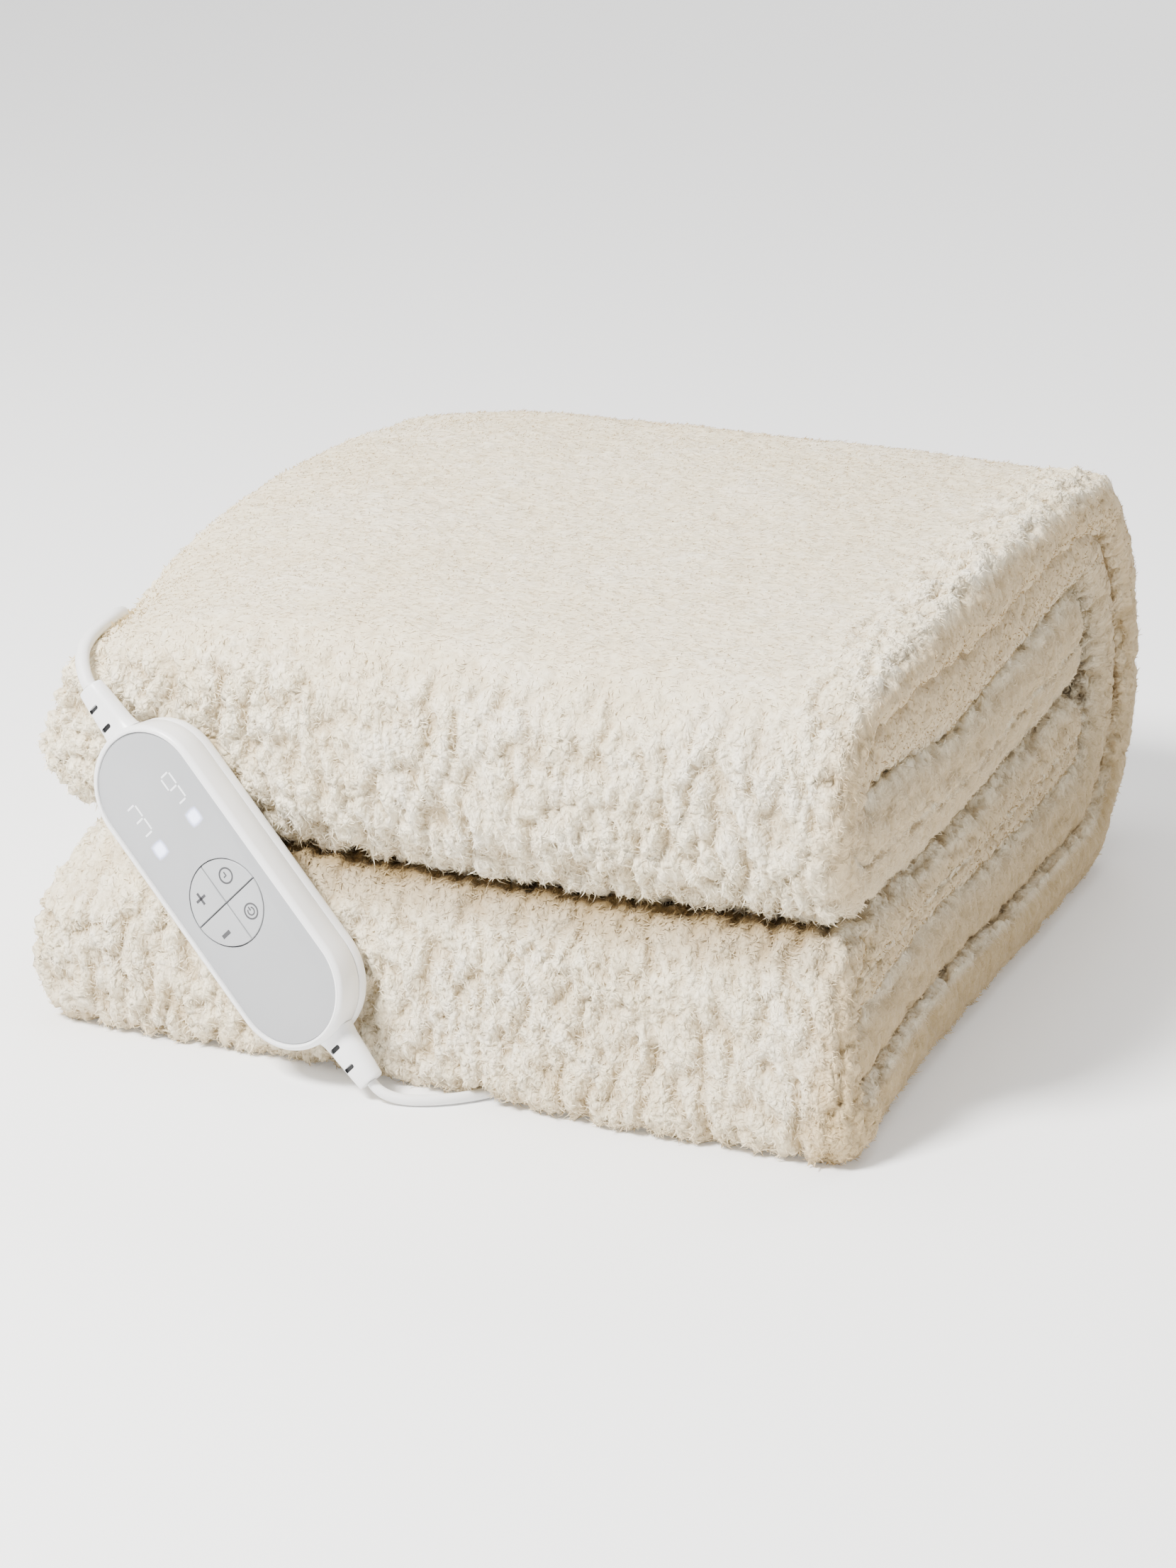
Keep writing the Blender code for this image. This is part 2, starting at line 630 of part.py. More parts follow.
def make_keys(parts, place, grey):
    for name, (along, across) in KEY_SIDES.items():
        key = prism(quarter(KEYPAD_RADIUS, along, across, CLEARANCE), -KEY_THICKNESS, 0.0)
        round_edges_at(key, 0.0, KEY_EDGE, 2)
        object_from(key, name, parts, grey, place, (KEYPAD_CENTRE, 0.0, KEY_HEIGHT))


def make_boots(parts, cutters, place, white):
    for name, end in (("boot_upper", -1.0), ("boot_lower", 1.0)):
        bm = bmesh.new()
        widths, thicks = (BOOT_BASE[0], BOOT_TIP[0]), (BOOT_BASE[1], BOOT_TIP[1])
        bmesh.ops.create_cone(
            bm, cap_ends=True, segments=24, radius1=widths[0], radius2=widths[1], depth=BOOT_LENGTH
        )
        for vert in bm.verts:
            share = vert.co.z / BOOT_LENGTH + 0.5
            width = widths[0] + (widths[1] - widths[0]) * share
            thick = thicks[0] + (thicks[1] - thicks[0]) * share
            vert.co.x *= thick / width
        turn = Matrix.Rotation(end * math.pi / 2.0, 3, "Y")
        bmesh.ops.rotate(bm, matrix=turn, verts=bm.verts)
        middle = end * (BOOT_NOTCH + CLEARANCE + BOOT_LENGTH / 2.0)
        boot = object_from(bm, name, parts, white, place, (middle, 0.0, BOOT_DEPTH))
        for index, along in enumerate(BOOT_SLOTS):
            long_, wide, deep = BOOT_SLOT_SIZE
            at = end * (BOOT_NOTCH + CLEARANCE + along)
            half = thicks[0] + (thicks[1] - thicks[0]) * along / BOOT_LENGTH
            for face, side in (("front", 1.0), ("behind", -1.0)):
                heights = sorted((side * (half - deep), side * (half + deep)))
                middle_y = -side * BOOT_SLOT_SHIFT
                slot = box(
                    (at - long_ / 2.0, middle_y - wide / 2.0, BOOT_DEPTH + heights[0]),
                    (at + long_ / 2.0, middle_y + wide / 2.0, BOOT_DEPTH + heights[1]),
                )
                label = f"slot_{name}_{index}_{face}"
                cut(boot, as_cutter(object_from(slot, label, cutters, parent=place)))


def boot_tip(end, beyond):
    """A point past a strain relief's tip, in the scene's millimetres."""
    reach = end * (BOOT_NOTCH + CLEARANCE + BOOT_LENGTH + beyond)
    return controller_matrix() @ (Vector((reach, 0.0, BOOT_DEPTH)) * MM) / MM


# ---- leads, coil and plug ----


def make_lead(parts, white):
    heading = Vector(SLEEVE_HEADING).normalized()
    mouth = Vector(SLEEVE_MOUTH)
    points = lead_from(
        boot_tip(-1.0, CLEARANCE),
        boot_tip(-1.0, STRAIGHT),
        LEAD_ROUTE,
        mouth - CLEARANCE * heading,
        mouth - STRAIGHT * heading,
        2.0 * LEAD_DIAMETER,
    )
    tube("blanket_lead", points, LEAD_DIAMETER, parts, white)
    bm = cone(SLEEVE_RADII, SLEEVE_LENGTH, heading, 20)
    object_from(bm, "lead_sleeve", parts, white, place=mouth + heading * SLEEVE_LENGTH / 2.0)


def cord_points():
    return lead_from(
        boot_tip(1.0, CLEARANCE),
        boot_tip(1.0, STRAIGHT),
        CORD_ROUTE[:-1],
        CORD_ROUTE[-1],
        Vector(CORD_ROUTE[-1]) - Vector((0.0, STRAIGHT, 0.0)),
        2.4 * CORD_DIAMETER,
    )


def make_tail(parts, white):
    tip = Vector((PLUG_X, PLUG_BACK + CLEARANCE, PLUG_BODY[2] / 2.0))
    before = tip + Vector((0.0, STRAIGHT, 0.0))
    points = [*smooth_route([*TAIL_ROUTE, before], 2.1 * CORD_DIAMETER), tip]
    tube("mains_tail", points, CORD_DIAMETER, parts, white)


def make_plug(parts, white, metal):
    """A flat two-pin plug lying on the floor with its pins towards the cloth."""
    wide, long_, thick = PLUG_BODY
    forwards = (0.0, -1.0, 0.0)
    boot_y = PLUG_BACK - PLUG_BOOT_LENGTH / 2.0
    boot = cone(PLUG_BOOT_RADII[::-1], PLUG_BOOT_LENGTH, forwards, 20)
    object_from(boot, "plug_boot", parts, white, place=(PLUG_X, boot_y, thick / 2.0))
    body_back = PLUG_BACK - PLUG_BOOT_LENGTH - CLEARANCE
    body_front = body_back - long_
    body = box((-wide / 2.0, -long_ / 2.0, 0.0), (wide / 2.0, long_ / 2.0, thick))
    sides = [e for e in body.edges if abs(e.verts[0].co.x - e.verts[1].co.x) < 0.01]
    upright = [e for e in sides if abs(e.verts[0].co.y - e.verts[1].co.y) < 0.01]
    bmesh.ops.bevel(body, geom=upright, offset=PLUG_CORNER, affect="EDGES", segments=4, profile=0.5)
    body_y = (body_back + body_front) / 2.0
    object_from(body, "plug_body", parts, white, place=(PLUG_X, body_y, 0.0))
    for name, side in (("plug_pin_left", -1.0), ("plug_pin_right", 1.0)):
        pin = cone((PIN_RADIUS, PIN_RADIUS), PIN_LENGTH, forwards, 16)
        tip_edges = [e for e in pin.edges if all(v.co.y < -PIN_LENGTH / 2.0 + 0.01 for v in e.verts)]
        bmesh.ops.bevel(pin, geom=tip_edges, offset=PIN_BEVEL, affect="EDGES", segments=2, profile=0.5)
        place = (
            PLUG_X + side * PIN_SPACING / 2.0,
            body_front - CLEARANCE - PIN_LENGTH / 2.0,
            thick / 2.0,
        )
        object_from(pin, name, parts, metal, place=place)


def make_coil(parts, white):
    """The stored length: a round bundle of turns, as one ring."""
    bm = bmesh.new()
    profile = [
        bm.verts.new(
            (
                COIL_RADIUS + COIL_BUNDLE * math.cos(2.0 * math.pi * i / 12),
                0.0,
                COIL_BUNDLE * math.sin(2.0 * math.pi * i / 12),
            )
        )
        for i in range(12)
    ]
    edges = [bm.edges.new((a, b)) for a, b in zip(profile, profile[1:] + profile[:1])]
    bmesh.ops.spin(
        bm,
        geom=profile + edges,
        cent=(0, 0, 0),
        axis=(0, 0, 1),
        angle=2.0 * math.pi,
        steps=32,
        use_merge=True,
    )
    bmesh.ops.remove_doubles(bm, verts=bm.verts, dist=0.01)
    object_from(bm, "mains_coil", parts, white, place=(*COIL_CENTRE, COIL_BUNDLE))


def main():
    clear_scene()
    parts, cutters = make_collections()
    fleece = plain_material("fleece", (0.86, 0.81, 0.73), 0.95)
    white = plain_material("white_plastic", (0.90, 0.90, 0.91), 0.38)
    grey = plain_material("light_grey_plastic", (0.62, 0.63, 0.65), 0.30)
    cord_white = plain_material("cord_white", (0.88, 0.88, 0.89), 0.45)
    metal = plain_material("plated_metal", (0.72, 0.72, 0.74), 0.25, 1.0)

    place = bpy.data.objects.new("controller_place", None)
    place.matrix_world = controller_matrix()
    parts.objects.link(place)

    make_blanket(parts, cutters, fleece, cord_points()[1:])
    make_shells(parts, cutters, place, white)
    make_plate(parts, cutters, place, grey)
    make_keys(parts, place, grey)
    make_boots(parts, cutters, place, white)
    make_lead(parts, cord_white)
    tube("mains_cord", cord_points(), CORD_DIAMETER, parts, cord_white)
    make_coil(parts, cord_white)
    make_tail(parts, cord_white)
    make_plug(parts, white, metal)


main()
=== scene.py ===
import math

import bmesh
import bpy
import numpy as np
from mathutils import Matrix, Vector


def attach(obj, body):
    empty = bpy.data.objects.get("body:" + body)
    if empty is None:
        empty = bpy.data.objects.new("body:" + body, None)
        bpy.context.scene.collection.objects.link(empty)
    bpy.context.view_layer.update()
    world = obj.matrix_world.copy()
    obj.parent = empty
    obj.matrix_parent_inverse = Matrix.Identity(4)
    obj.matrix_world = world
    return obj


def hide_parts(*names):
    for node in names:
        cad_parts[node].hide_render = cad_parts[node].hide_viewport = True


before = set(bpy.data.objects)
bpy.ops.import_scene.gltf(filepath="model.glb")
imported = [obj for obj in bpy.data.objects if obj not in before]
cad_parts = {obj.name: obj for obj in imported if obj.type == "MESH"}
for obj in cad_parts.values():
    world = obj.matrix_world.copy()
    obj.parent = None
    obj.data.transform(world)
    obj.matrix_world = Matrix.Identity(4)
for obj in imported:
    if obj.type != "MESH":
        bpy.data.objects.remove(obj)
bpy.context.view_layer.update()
mm = 0.001


def linked(name, data):
    made = bpy.data.objects.new(name, data)
    bpy.context.scene.collection.objects.link(made)
    return made


# The body a piece moves with and the solids it stands for; its kind of finish is not used.
def belongs(made, body, slot, *replaced):
    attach(made, body)
    if replaced:
        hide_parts(*replaced)
    return made


# Camera: the photograph's own angle and distance, for an image of 1659 x 2212.

cameraSettings = {
    "place": (0.79409, -1.91903, 0.82335),
    "back": (0.36300, -0.86789, 0.33910),
    "yaw": 22.70,
    "lens": 105.74,
    "sensorHeight": 36.0,
}


def makeCamera(settings):
    data = bpy.data.cameras.new("photoCamera")
    data.sensor_fit = "VERTICAL"
    data.sensor_height = settings["sensorHeight"]
    data.sensor_width = settings["sensorHeight"]
    data.lens = settings["lens"]
    camera = linked("photoCamera", data)
    back = Vector(settings["back"]).normalized()
    yaw = math.radians(settings["yaw"])
    right = Vector((math.cos(yaw), math.sin(yaw), 0.0))
    right = (right - right.dot(back) * back).normalized()
    turned = Matrix((right, back.cross(right), back)).transposed().to_4x4()
    camera.matrix_world = Matrix.Translation(Vector(settings["place"])) @ turned
    bpy.context.scene.camera = camera


makeCamera(cameraSettings)
print("camera made")


# Sets plain values on a node's inputs and links the others.
def fill(tree, node, inputs):
    for key, value in dict(inputs).items():
        socket = node.inputs[key]
        if isinstance(value, bpy.types.NodeSocket):
            tree.links.new(value, socket)
        else:
            socket.default_value = value
    return node


def wire(tree, kind, inputs=(), **settings):
    node = tree.nodes.new(kind)
    for key, value in settings.items():
        setattr(node, key, value)
    return fill(tree, node, inputs)


def blank(name):
    material = bpy.data.materials.new(name)
    material.use_nodes = True
    tree = material.node_tree
    return material, tree, tree.nodes["Principled BSDF"]


def objectPlace(tree):
    return wire(tree, "ShaderNodeTexCoord").outputs["Object"]


def ramp(tree, factor, stops, colours):
    node = wire(tree, "ShaderNodeValToRGB", {"Fac": factor})
    line = node.color_ramp
    while len(line.elements) < len(stops):
        line.elements.new(0.5)
    for element, stop, colour in zip(line.elements, stops, colours):
        element.position = stop
        element.color = (*colour, 1.0)
    return node.outputs["Color"]


def maths(tree, operation, *values, clamp=False):
    node = wire(tree, "ShaderNodeMath", dict(enumerate(values)), operation=operation, use_clamp=clamp)
    return node.outputs[0]


def vectors(tree, operation, *values):
    return wire(tree, "ShaderNodeVectorMath", dict(enumerate(values)), operation=operation).outputs[0]


def noise(tree, vector, scale, detail, distortion=0.0, output="Fac"):
    node = wire(tree, "ShaderNodeTexNoise", {
        "Vector": vector, "Scale": scale, "Detail": detail, "Distortion": distortion})
    return node.outputs[output]


# The value's span from low to high laid over another span.
def spread(tree, value, low, high, span=(0.0, 1.0), way="LINEAR"):
    node = wire(tree, "ShaderNodeMapRange", {
        "Value": value, "From Min": low, "From Max": high, "To Min": span[0], "To Max": span[1]},
        interpolation_type=way)
    return node.outputs["Result"]


def blended(tree, factor, first, second):
    node = wire(tree, "ShaderNodeMix", {0: factor, 2: first, 3: second}, data_type="FLOAT")
    return node.outputs[0]


# A colour between two others, each a socket or three numbers.
def tinted(tree, factor, *pair):
    first, second = (c if isinstance(c, bpy.types.NodeSocket) else (*c, 1.0) for c in pair)
    return wire(tree, "ShaderNodeMix", {0: factor, 6: first, 7: second}, data_type="RGBA").outputs[2]


def bumped(tree, height, strength, distance):
    node = wire(tree, "ShaderNodeBump", {"Height": height, "Strength": strength, "Distance": distance})
    return node.outputs["Normal"]


plasticSettings = {
    "drift": (18.0, 3.0),
    "wear": (90.0, 4.0),
    "stops": (0.3, 0.7),
    "glossSpread": (-0.05, 0.06),
    "grainDetail": 2.0,
    "grainDepth": 0.0002,
    "coatRoughness": 0.2,
}
# Two shades, roughness, fineness and strength of the grain, and clear coat.
plastics = {
    "whiteHousing": (((0.80, 0.80, 0.81), (0.84, 0.84, 0.845)), 0.36, 900.0, 0.12, 0.12),
    "greyFace": (((0.335, 0.343, 0.357), (0.355, 0.363, 0.377)), 0.33, 1400.0, 0.08, 0.15),
    "greyKeys": (((0.37, 0.378, 0.392), (0.39, 0.398, 0.412)), 0.36, 1400.0, 0.08, 0.1),
    "cordSheath": (((0.74, 0.735, 0.73), (0.79, 0.785, 0.78)), 0.46, 700.0, 0.25, 0.0),
    "greyMarks": (((0.045, 0.045, 0.05), (0.07, 0.07, 0.075)), 0.5, 1500.0, 0.05, 0.0),
    # A near-black finish that stands in for the shadow inside the strain reliefs' slots and at their
    # joint with the housing.
    "paintedSlotShade": (((0.025, 0.025, 0.027), (0.04, 0.04, 0.042)), 0.6, 900.0, 0.1, 0.0),
    "tieStrap": (((0.70, 0.70, 0.69), (0.78, 0.78, 0.77)), 0.7, 1800.0, 0.8, 0.0),
}


# Moulded plastic: slight colour drift, uneven gloss and a fine grain.
def plasticMaterial(name, shades, roughness, grain, strength, coat):
    settings = plasticSettings
    material, tree, shader = blank(name)
    place = objectPlace(tree)
    gloss = [roughness + more for more in settings["glossSpread"]]
    grained = noise(tree, place, grain, settings["grainDetail"])
    fill(tree, shader, {
        "Base Color": ramp(tree, noise(tree, place, *settings["drift"]), settings["stops"], shades),
        "Roughness": spread(tree, noise(tree, place, *settings["wear"]), *settings["stops"], gloss),
        "Normal": bumped(tree, grained, strength, settings["grainDepth"]),
        "Coat Weight": coat, "Coat Roughness": settings["coatRoughness"]})
    return material


pinFinish = {
    "brushing": (900.0, 60.0, 900.0),
    "stops": (0.3, 0.7),
    "shades": ((0.66, 0.65, 0.64), (0.78, 0.77, 0.76)),
    "roughness": (0.16, 0.34),
}


def metalMaterial(settings):
    material, tree, shader = blank("platedPins")
    brushed = wire(tree, "ShaderNodeMapping", {
        "Vector": objectPlace(tree), "Scale": settings["brushing"]})
    lines = noise(tree, brushed.outputs["Vector"], 1.0, 2.0)
    fill(tree, shader, {
        "Base Color": ramp(tree, lines, settings["stops"], settings["shades"]),
        "Roughness": spread(tree, lines, 0.0, 1.0, settings["roughness"]),
        "Metallic": 1.0})
    return material


finishes = {name: plasticMaterial(name, *facts) for name, facts in plastics.items()}
finishes["platedPins"] = metalMaterial(pinFinish)

# Pieces are modelled in millimetres and end as objects at the origin.

edgeAngle = 35.0


def meshFrom(bm, name, place=None):
    bmesh.ops.recalc_face_normals(bm, faces=bm.faces)
    bmesh.ops.scale(bm, vec=(mm, mm, mm), verts=bm.verts)
    mesh = bpy.data.meshes.new(name)
    bm.to_mesh(mesh)
    bm.free()
    if place is not None:
        mesh.transform(place)
    return mesh


def smoothed(mesh, sharp):
    mesh.shade_smooth()
    mesh.set_sharp_from_angle(angle=math.radians(sharp))


def pieceFrom(bm, name, finish, replaced=(), place=None, body="root", slot="white_plastic",
              sharp=edgeAngle):
    mesh = meshFrom(bm, name, place)
    smoothed(mesh, sharp)
    mesh.materials.append(finish if isinstance(finish, bpy.types.Material) else finishes[finish])
    return belongs(linked(name, mesh), body, slot, *replaced)


# Keeps what the live modifiers give, as the object's own mesh with one material.
def bake(made, material):
    graph = bpy.context.evaluated_depsgraph_get()
    mesh = bpy.data.meshes.new_from_object(made.evaluated_get(graph))
    made.modifiers.clear()
    made.data = mesh
    mesh.materials.clear()
    mesh.materials.append(material)


# Values at the places asked for, on a smooth curve through the given values.
def smoothBetween(places, values, at):
    places = np.asarray(places, float)
    values = np.asarray(values, float)
    at = np.atleast_1d(np.asarray(at, float))
    slopes = np.gradient(values, places)
    index = np.clip(np.searchsorted(places, at, side="right") - 1, 0, len(places) - 2)
    width = places[index + 1] - places[index]
    t = np.clip((at - places[index]) / width, 0.0, 1.0)
    start = (2 * t**3 - 3 * t**2 + 1) * values[index] + (t**3 - 2 * t**2 + t) * width * slopes[index]
    finish = (3 * t**2 - 2 * t**3) * values[index + 1] + (t**3 - t**2) * width * slopes[index + 1]
    return start + finish


routeSettings = {
    "finePerPoint": 60,
    "stiffEnd": 7.0,
}


def lengthsAlong(points):
    return np.concatenate([[0.0], np.cumsum(np.linalg.norm(np.diff(points, axis=0), axis=1))])


# Points about one spacing apart on a smooth curve through the given ones, its ends held straight.
def smoothRoute(points, spacing, easing):
    given = np.array([tuple(p) for p in points], float)
    steps = np.linalg.norm(np.diff(given, axis=0), axis=1) ** 0.5
    knots = np.concatenate([[0.0], np.cumsum(steps)])
    at = np.linspace(0.0, knots[-1], routeSettings["finePerPoint"] * len(given))
    fine = np.stack([smoothBetween(knots, given[:, k], at) for k in range(3)], axis=1)
    along = lengthsAlong(fine)
    even = np.linspace(0.0, along[-1], max(2, round(along[-1] / spacing) + 1))
    route = np.stack([np.interp(even, along, fine[:, k]) for k in range(3)], axis=1)
    fromEnd = np.minimum(np.arange(len(route)), np.arange(len(route))[::-1])
    share = np.clip(fromEnd / routeSettings["stiffEnd"], 0.0, 1.0)[1:-1, None] / 2.0
    for _ in range(easing):
        route[1:-1] += share * ((route[2:] + route[:-2]) / 2.0 - route[1:-1])
    return route


def eased(t):
    return t * t * (3.0 - 2.0 * t)


# Cords: their routes in millimetres, then one curve for each.

controllerSettings = {
    "place": (-95.1, -221.5, 86.1),
    "down": (0.702, -0.168, -0.692),
    "out": (-0.150, -0.985, 0.087),
    "radius": 30.5,
    "halfRun": 53.5,
    "front": 1.0,
    "split": -14.0,
    "back": -22.0,
    "bootStart": 82.5,
    "bootLength": 27.5,
    "bootDepth": -10.5,
}


def controllerMatrix(settings):
    out = Vector(settings["out"]).normalized()
    down = Vector(settings["down"])
    down = (down - down.dot(out) * out).normalized()
    turned = Matrix((down, out.cross(down), out)).transposed().to_4x4()
    return Matrix.Translation(Vector(settings["place"]) * mm) @ turned


controllerPlace = controllerMatrix(controllerSettings)


# A point on a strain relief's own line, beyond its tip; end is -1 above and 1 below.
def bootTip(end, beyond):
    reach = end * (controllerSettings["bootStart"] + controllerSettings["bootLength"] + beyond)
    return controllerPlace @ (Vector((reach, 0.0, controllerSettings["bootDepth"])) * mm) / mm


cordEnds = {
    "clear": 0.3,
    "straight": (0.3, 2.6, 5.0),
}


def bootExit(end):
    return [bootTip(end, beyond) for beyond in cordEnds["straight"]]


leadSettings = {
    "diameter": 6.5,
    "length": 0.42,
    "spacing": 1.6,
    "easing": 60,
    "route": (
        (-177.2, -189.0, 168.5), (-179.4, -185.8, 171.4), (-181.4, -181.4, 173.6),
        (-183.0, -175.8, 175.2), (-184.2, -168.6, 176.2), (-185.4, -156.0, 176.9),
        (-186.8, -142.0, 176.8), (-190.0, -127.4, 175.0), (-195.6, -114.0, 170.4),
        (-202.8, -102.6, 162.4), (-209.6, -93.6, 150.6), (-214.6, -86.6, 135.0),
        (-217.6, -81.4, 116.0), (-219.0, -77.4, 94.0), (-219.6, -73.6, 70.0),
        (-220.0, -68.8, 46.0), (-220.6, -61.4, 26.0), (-221.2, -50.4, 12.4),
        (-221.4, -36.4, 5.2), (-221.2, -21.0, 3.7), (-220.2, -5.4, 5.2),
        (-218.0, 9.8, 11.4), (-214.4, 23.2, 22.4), (-209.6, 34.4, 35.2),
        (-204.6, 44.8, 47.2), (-200.8, 56.0, 54.6),
    ),
    "mouth": (-196.6, 74.0, 57.0),
    "heading": (0.24, 0.97, 0.0),
}

mainsSettings = {
    "diameter": 5.0,
    "spacing": 1.9,
    "easing": 18,
    "floor": 2.8,
    "route": (
        (-7.0, -231.0, 3.5), (-0.6, -230.0, 2.8), (5.8, -227.9, 2.8), (11.9, -224.9, 2.8),
        (17.8, -221.0, 2.8), (23.7, -215.9, 2.8), (29.3, -209.8, 2.8), (34.6, -202.8, 2.8),
        (40.0, -194.0, 2.8), (50.0, -172.0, 2.8), (63.0, -130.0, 2.8), (72.0, -75.0, 2.8),
        (76.0, -15.0, 2.8), (80.0, 50.0, 2.8), (87.0, 115.0, 2.8), (94.5, 170.0, 2.8),
        (99.5, 215.0, 2.8), (102.0, 250.0, 2.8), (102.4, 274.0, 2.8),
    ),
    "coilCentre": (66.5, 287.0),
    "coilStart": -9.0,
    "coilLeave": 103.0,
    "coilStep": 5.0,
    "slots": ((36.0, 2.8), (30.0, 3.0), (25.0, 3.0), (22.5, 7.4), (25.0, 11.7), (30.0, 11.7),
              (32.5, 7.4), (36.6, 3.0)),
    "hump": (1.7, 2.4),
    "tail": ((58.0, 322.6, 3.0), (46.0, 322.4, 3.2), (34.0, 319.5, 4.2), (24.0, 313.0, 5.6),
             (17.5, 304.0, 6.6)),
    "plugX": 15.0,
    "plugBack": 296.0,
    "plugHeight": 6.8,
}


# Turns that lie beside and on each other, each one shifting to its next place over part of a turn.
def coilPoints(settings):
    centre = settings["coilCentre"]
    shift = settings["coilLeave"] - settings["coilStart"]
    slots = settings["slots"]
    step = settings["coilStep"]
    points = []
    for turn, (near, far) in enumerate(zip(slots, slots[1:])):
        last = turn == len(slots) - 2
        for k in range(int((shift if last else 360.0) / step)):
            t = min(k * step / shift, 1.0)
            radius, height = (a + (b - a) * eased(t) for a, b in zip(near, far))
            if last:
                radius += settings["hump"][0] * math.sin(math.pi * t)
                height += settings["hump"][1] * math.sin(math.pi * t)
            angle = math.radians(settings["coilStart"] + k * step)
            points.append((
                centre[0] + radius * math.cos(angle), centre[1] + radius * math.sin(angle), height))
    return points


def leadPoints(settings):
    heading = Vector(settings["heading"]).normalized()
    mouth = Vector(settings["mouth"])
    route = [*bootExit(-1.0), *settings["route"], mouth - cordEnds["straight"][-1] * heading,
             mouth - cordEnds["clear"] * heading]
    return smoothRoute(route, settings["spacing"], settings["easing"])


def mainsPoints(settings):
    tip = Vector((settings["plugX"], settings["plugBack"] + cordEnds["clear"], settings["plugHeight"]))
    route = [*bootExit(1.0), *settings["route"], *coilPoints(settings), *settings["tail"],
             tip + Vector((0.0, cordEnds["straight"][-1], 0.0)), tip]
    return smoothRoute(route, settings["spacing"], settings["easing"])


def makeCord(name, points, diameter, replaced):
    curve = bpy.data.curves.new(name, "CURVE")
    curve.dimensions = "3D"
    curve.bevel_depth = diameter * mm / 2.0
    curve.bevel_resolution = 4
    curve.use_fill_caps = True
    line = curve.splines.new("POLY")
    line.points.add(len(points) - 1)
    for target, point in zip(line.points, points):
        target.co = (*(Vector(point) * mm), 1.0)
    line.use_smooth = True
    curve.materials.append(finishes["cordSheath"])
    return belongs(linked(name, curve), "root", "cord_white", *replaced)


def routeLength(points):
    return float(lengthsAlong(points)[-1]) * mm


leadLine = leadPoints(leadSettings)
mainsLine = mainsPoints(mainsSettings)
blanketLead = makeCord("blanketLead", leadLine, leadSettings["diameter"], ["blanket_lead"])
mainsCord = makeCord(
    "mainsCord", mainsLine, mainsSettings["diameter"], ["mains_cord", "mains_coil", "mains_tail"])
print("cords made", round(routeLength(leadLine), 3), round(routeLength(mainsLine), 3))

# Folded cloth: the same folds as its solid. Heights and places are in millimetres.

clothSettings = {
    "leftEnd": -201.0,
    "rightEnd": 196.0,
    "leafGap": 1.4,
    "passGap": 2.6,
    "foldReach": 27.0,
    "foldSteps": 40,
    "turnSteps": 90,
    "passStep": 2.0,
    "endRounding": 17.0,
    "endStart": 78.0,
    "endSteps": 16,
    "fineSpacing": 0.8,
    "spacing": 1.75,
    "easeReach": 5,
    "easeMargin": 60,
    "neutral": 0.65,
    "splitSquare": 0.7,
    "inset": 3.6,
    "slitDepth": 16.0,
    "hemSteps": (4, 6, 10),
    "liftOver": 30.0,
}
stackPlaces = (-182.0, -157.0, -120.0, -80.0, -40.0, 0.0, 40.0, 80.0, 115.0, 150.0)
stackHeights = {
    "low": (50.0, 52.0, 55.0, 59.5, 59.0, 57.5, 57.0, 57.0, 57.5, 58.0),
    "middle": (96.0, 95.0, 93.5, 92.5, 93.0, 95.0, 97.0, 99.0, 101.0, 102.0),
    "high": (147.0, 147.5, 147.0, 142.5, 138.5, 142.0, 146.5, 149.5, 152.0, 155.0),
    "split": (181.0, 184.0, 185.0, 183.0, 182.0, 183.0, 186.0, 189.0, 189.0, 184.5),
    "top": (198.0, 203.0, 206.5, 208.5, 210.0, 211.0, 211.5, 211.5, 210.5, 208.0),
}
# Turns: centre y and z, reach of the inner, split and outer lines, squareness above and below.
turnShapes = {
    "upperFront": (-157.0, 147.5, 5.0, 32.0, 46.0, 2.35, 2.6),
    "back": (150.0, 105.0, 34.0, 59.0, 84.0, 2.25, 2.1),
    "lowerFront": (-182.0, 50.0, 3.0, 16.0, 29.0, 2.2, 3.6),
}
# Hems: reach of the outer and inner leaf, rounding outside and by the split, place of the tip.
hemShapes = {
    "upperInner": (-4.0, -3.0, 13.0, 4.0, 0.18),
    "top": (3.0, -3.0, 15.0, 9.0, 0.38),
    "bottom": (4.0, -3.0, 12.0, 5.0, 0.30),
    "lowerInner": (-2.0, -3.0, 13.0, 4.0, 0.18),
}
# Flat stretch of each pass, and the tips of its two free ends.
passSpans = {
    "upperInner": (138.0, -156.0),
    "top": (-156.0, 149.0),
    "bottom": (149.0, -181.0),
    "lowerInner": (-181.0, 133.0),
}
endPlaces = {"upperInner": 156.0, "lowerInner": 151.0}
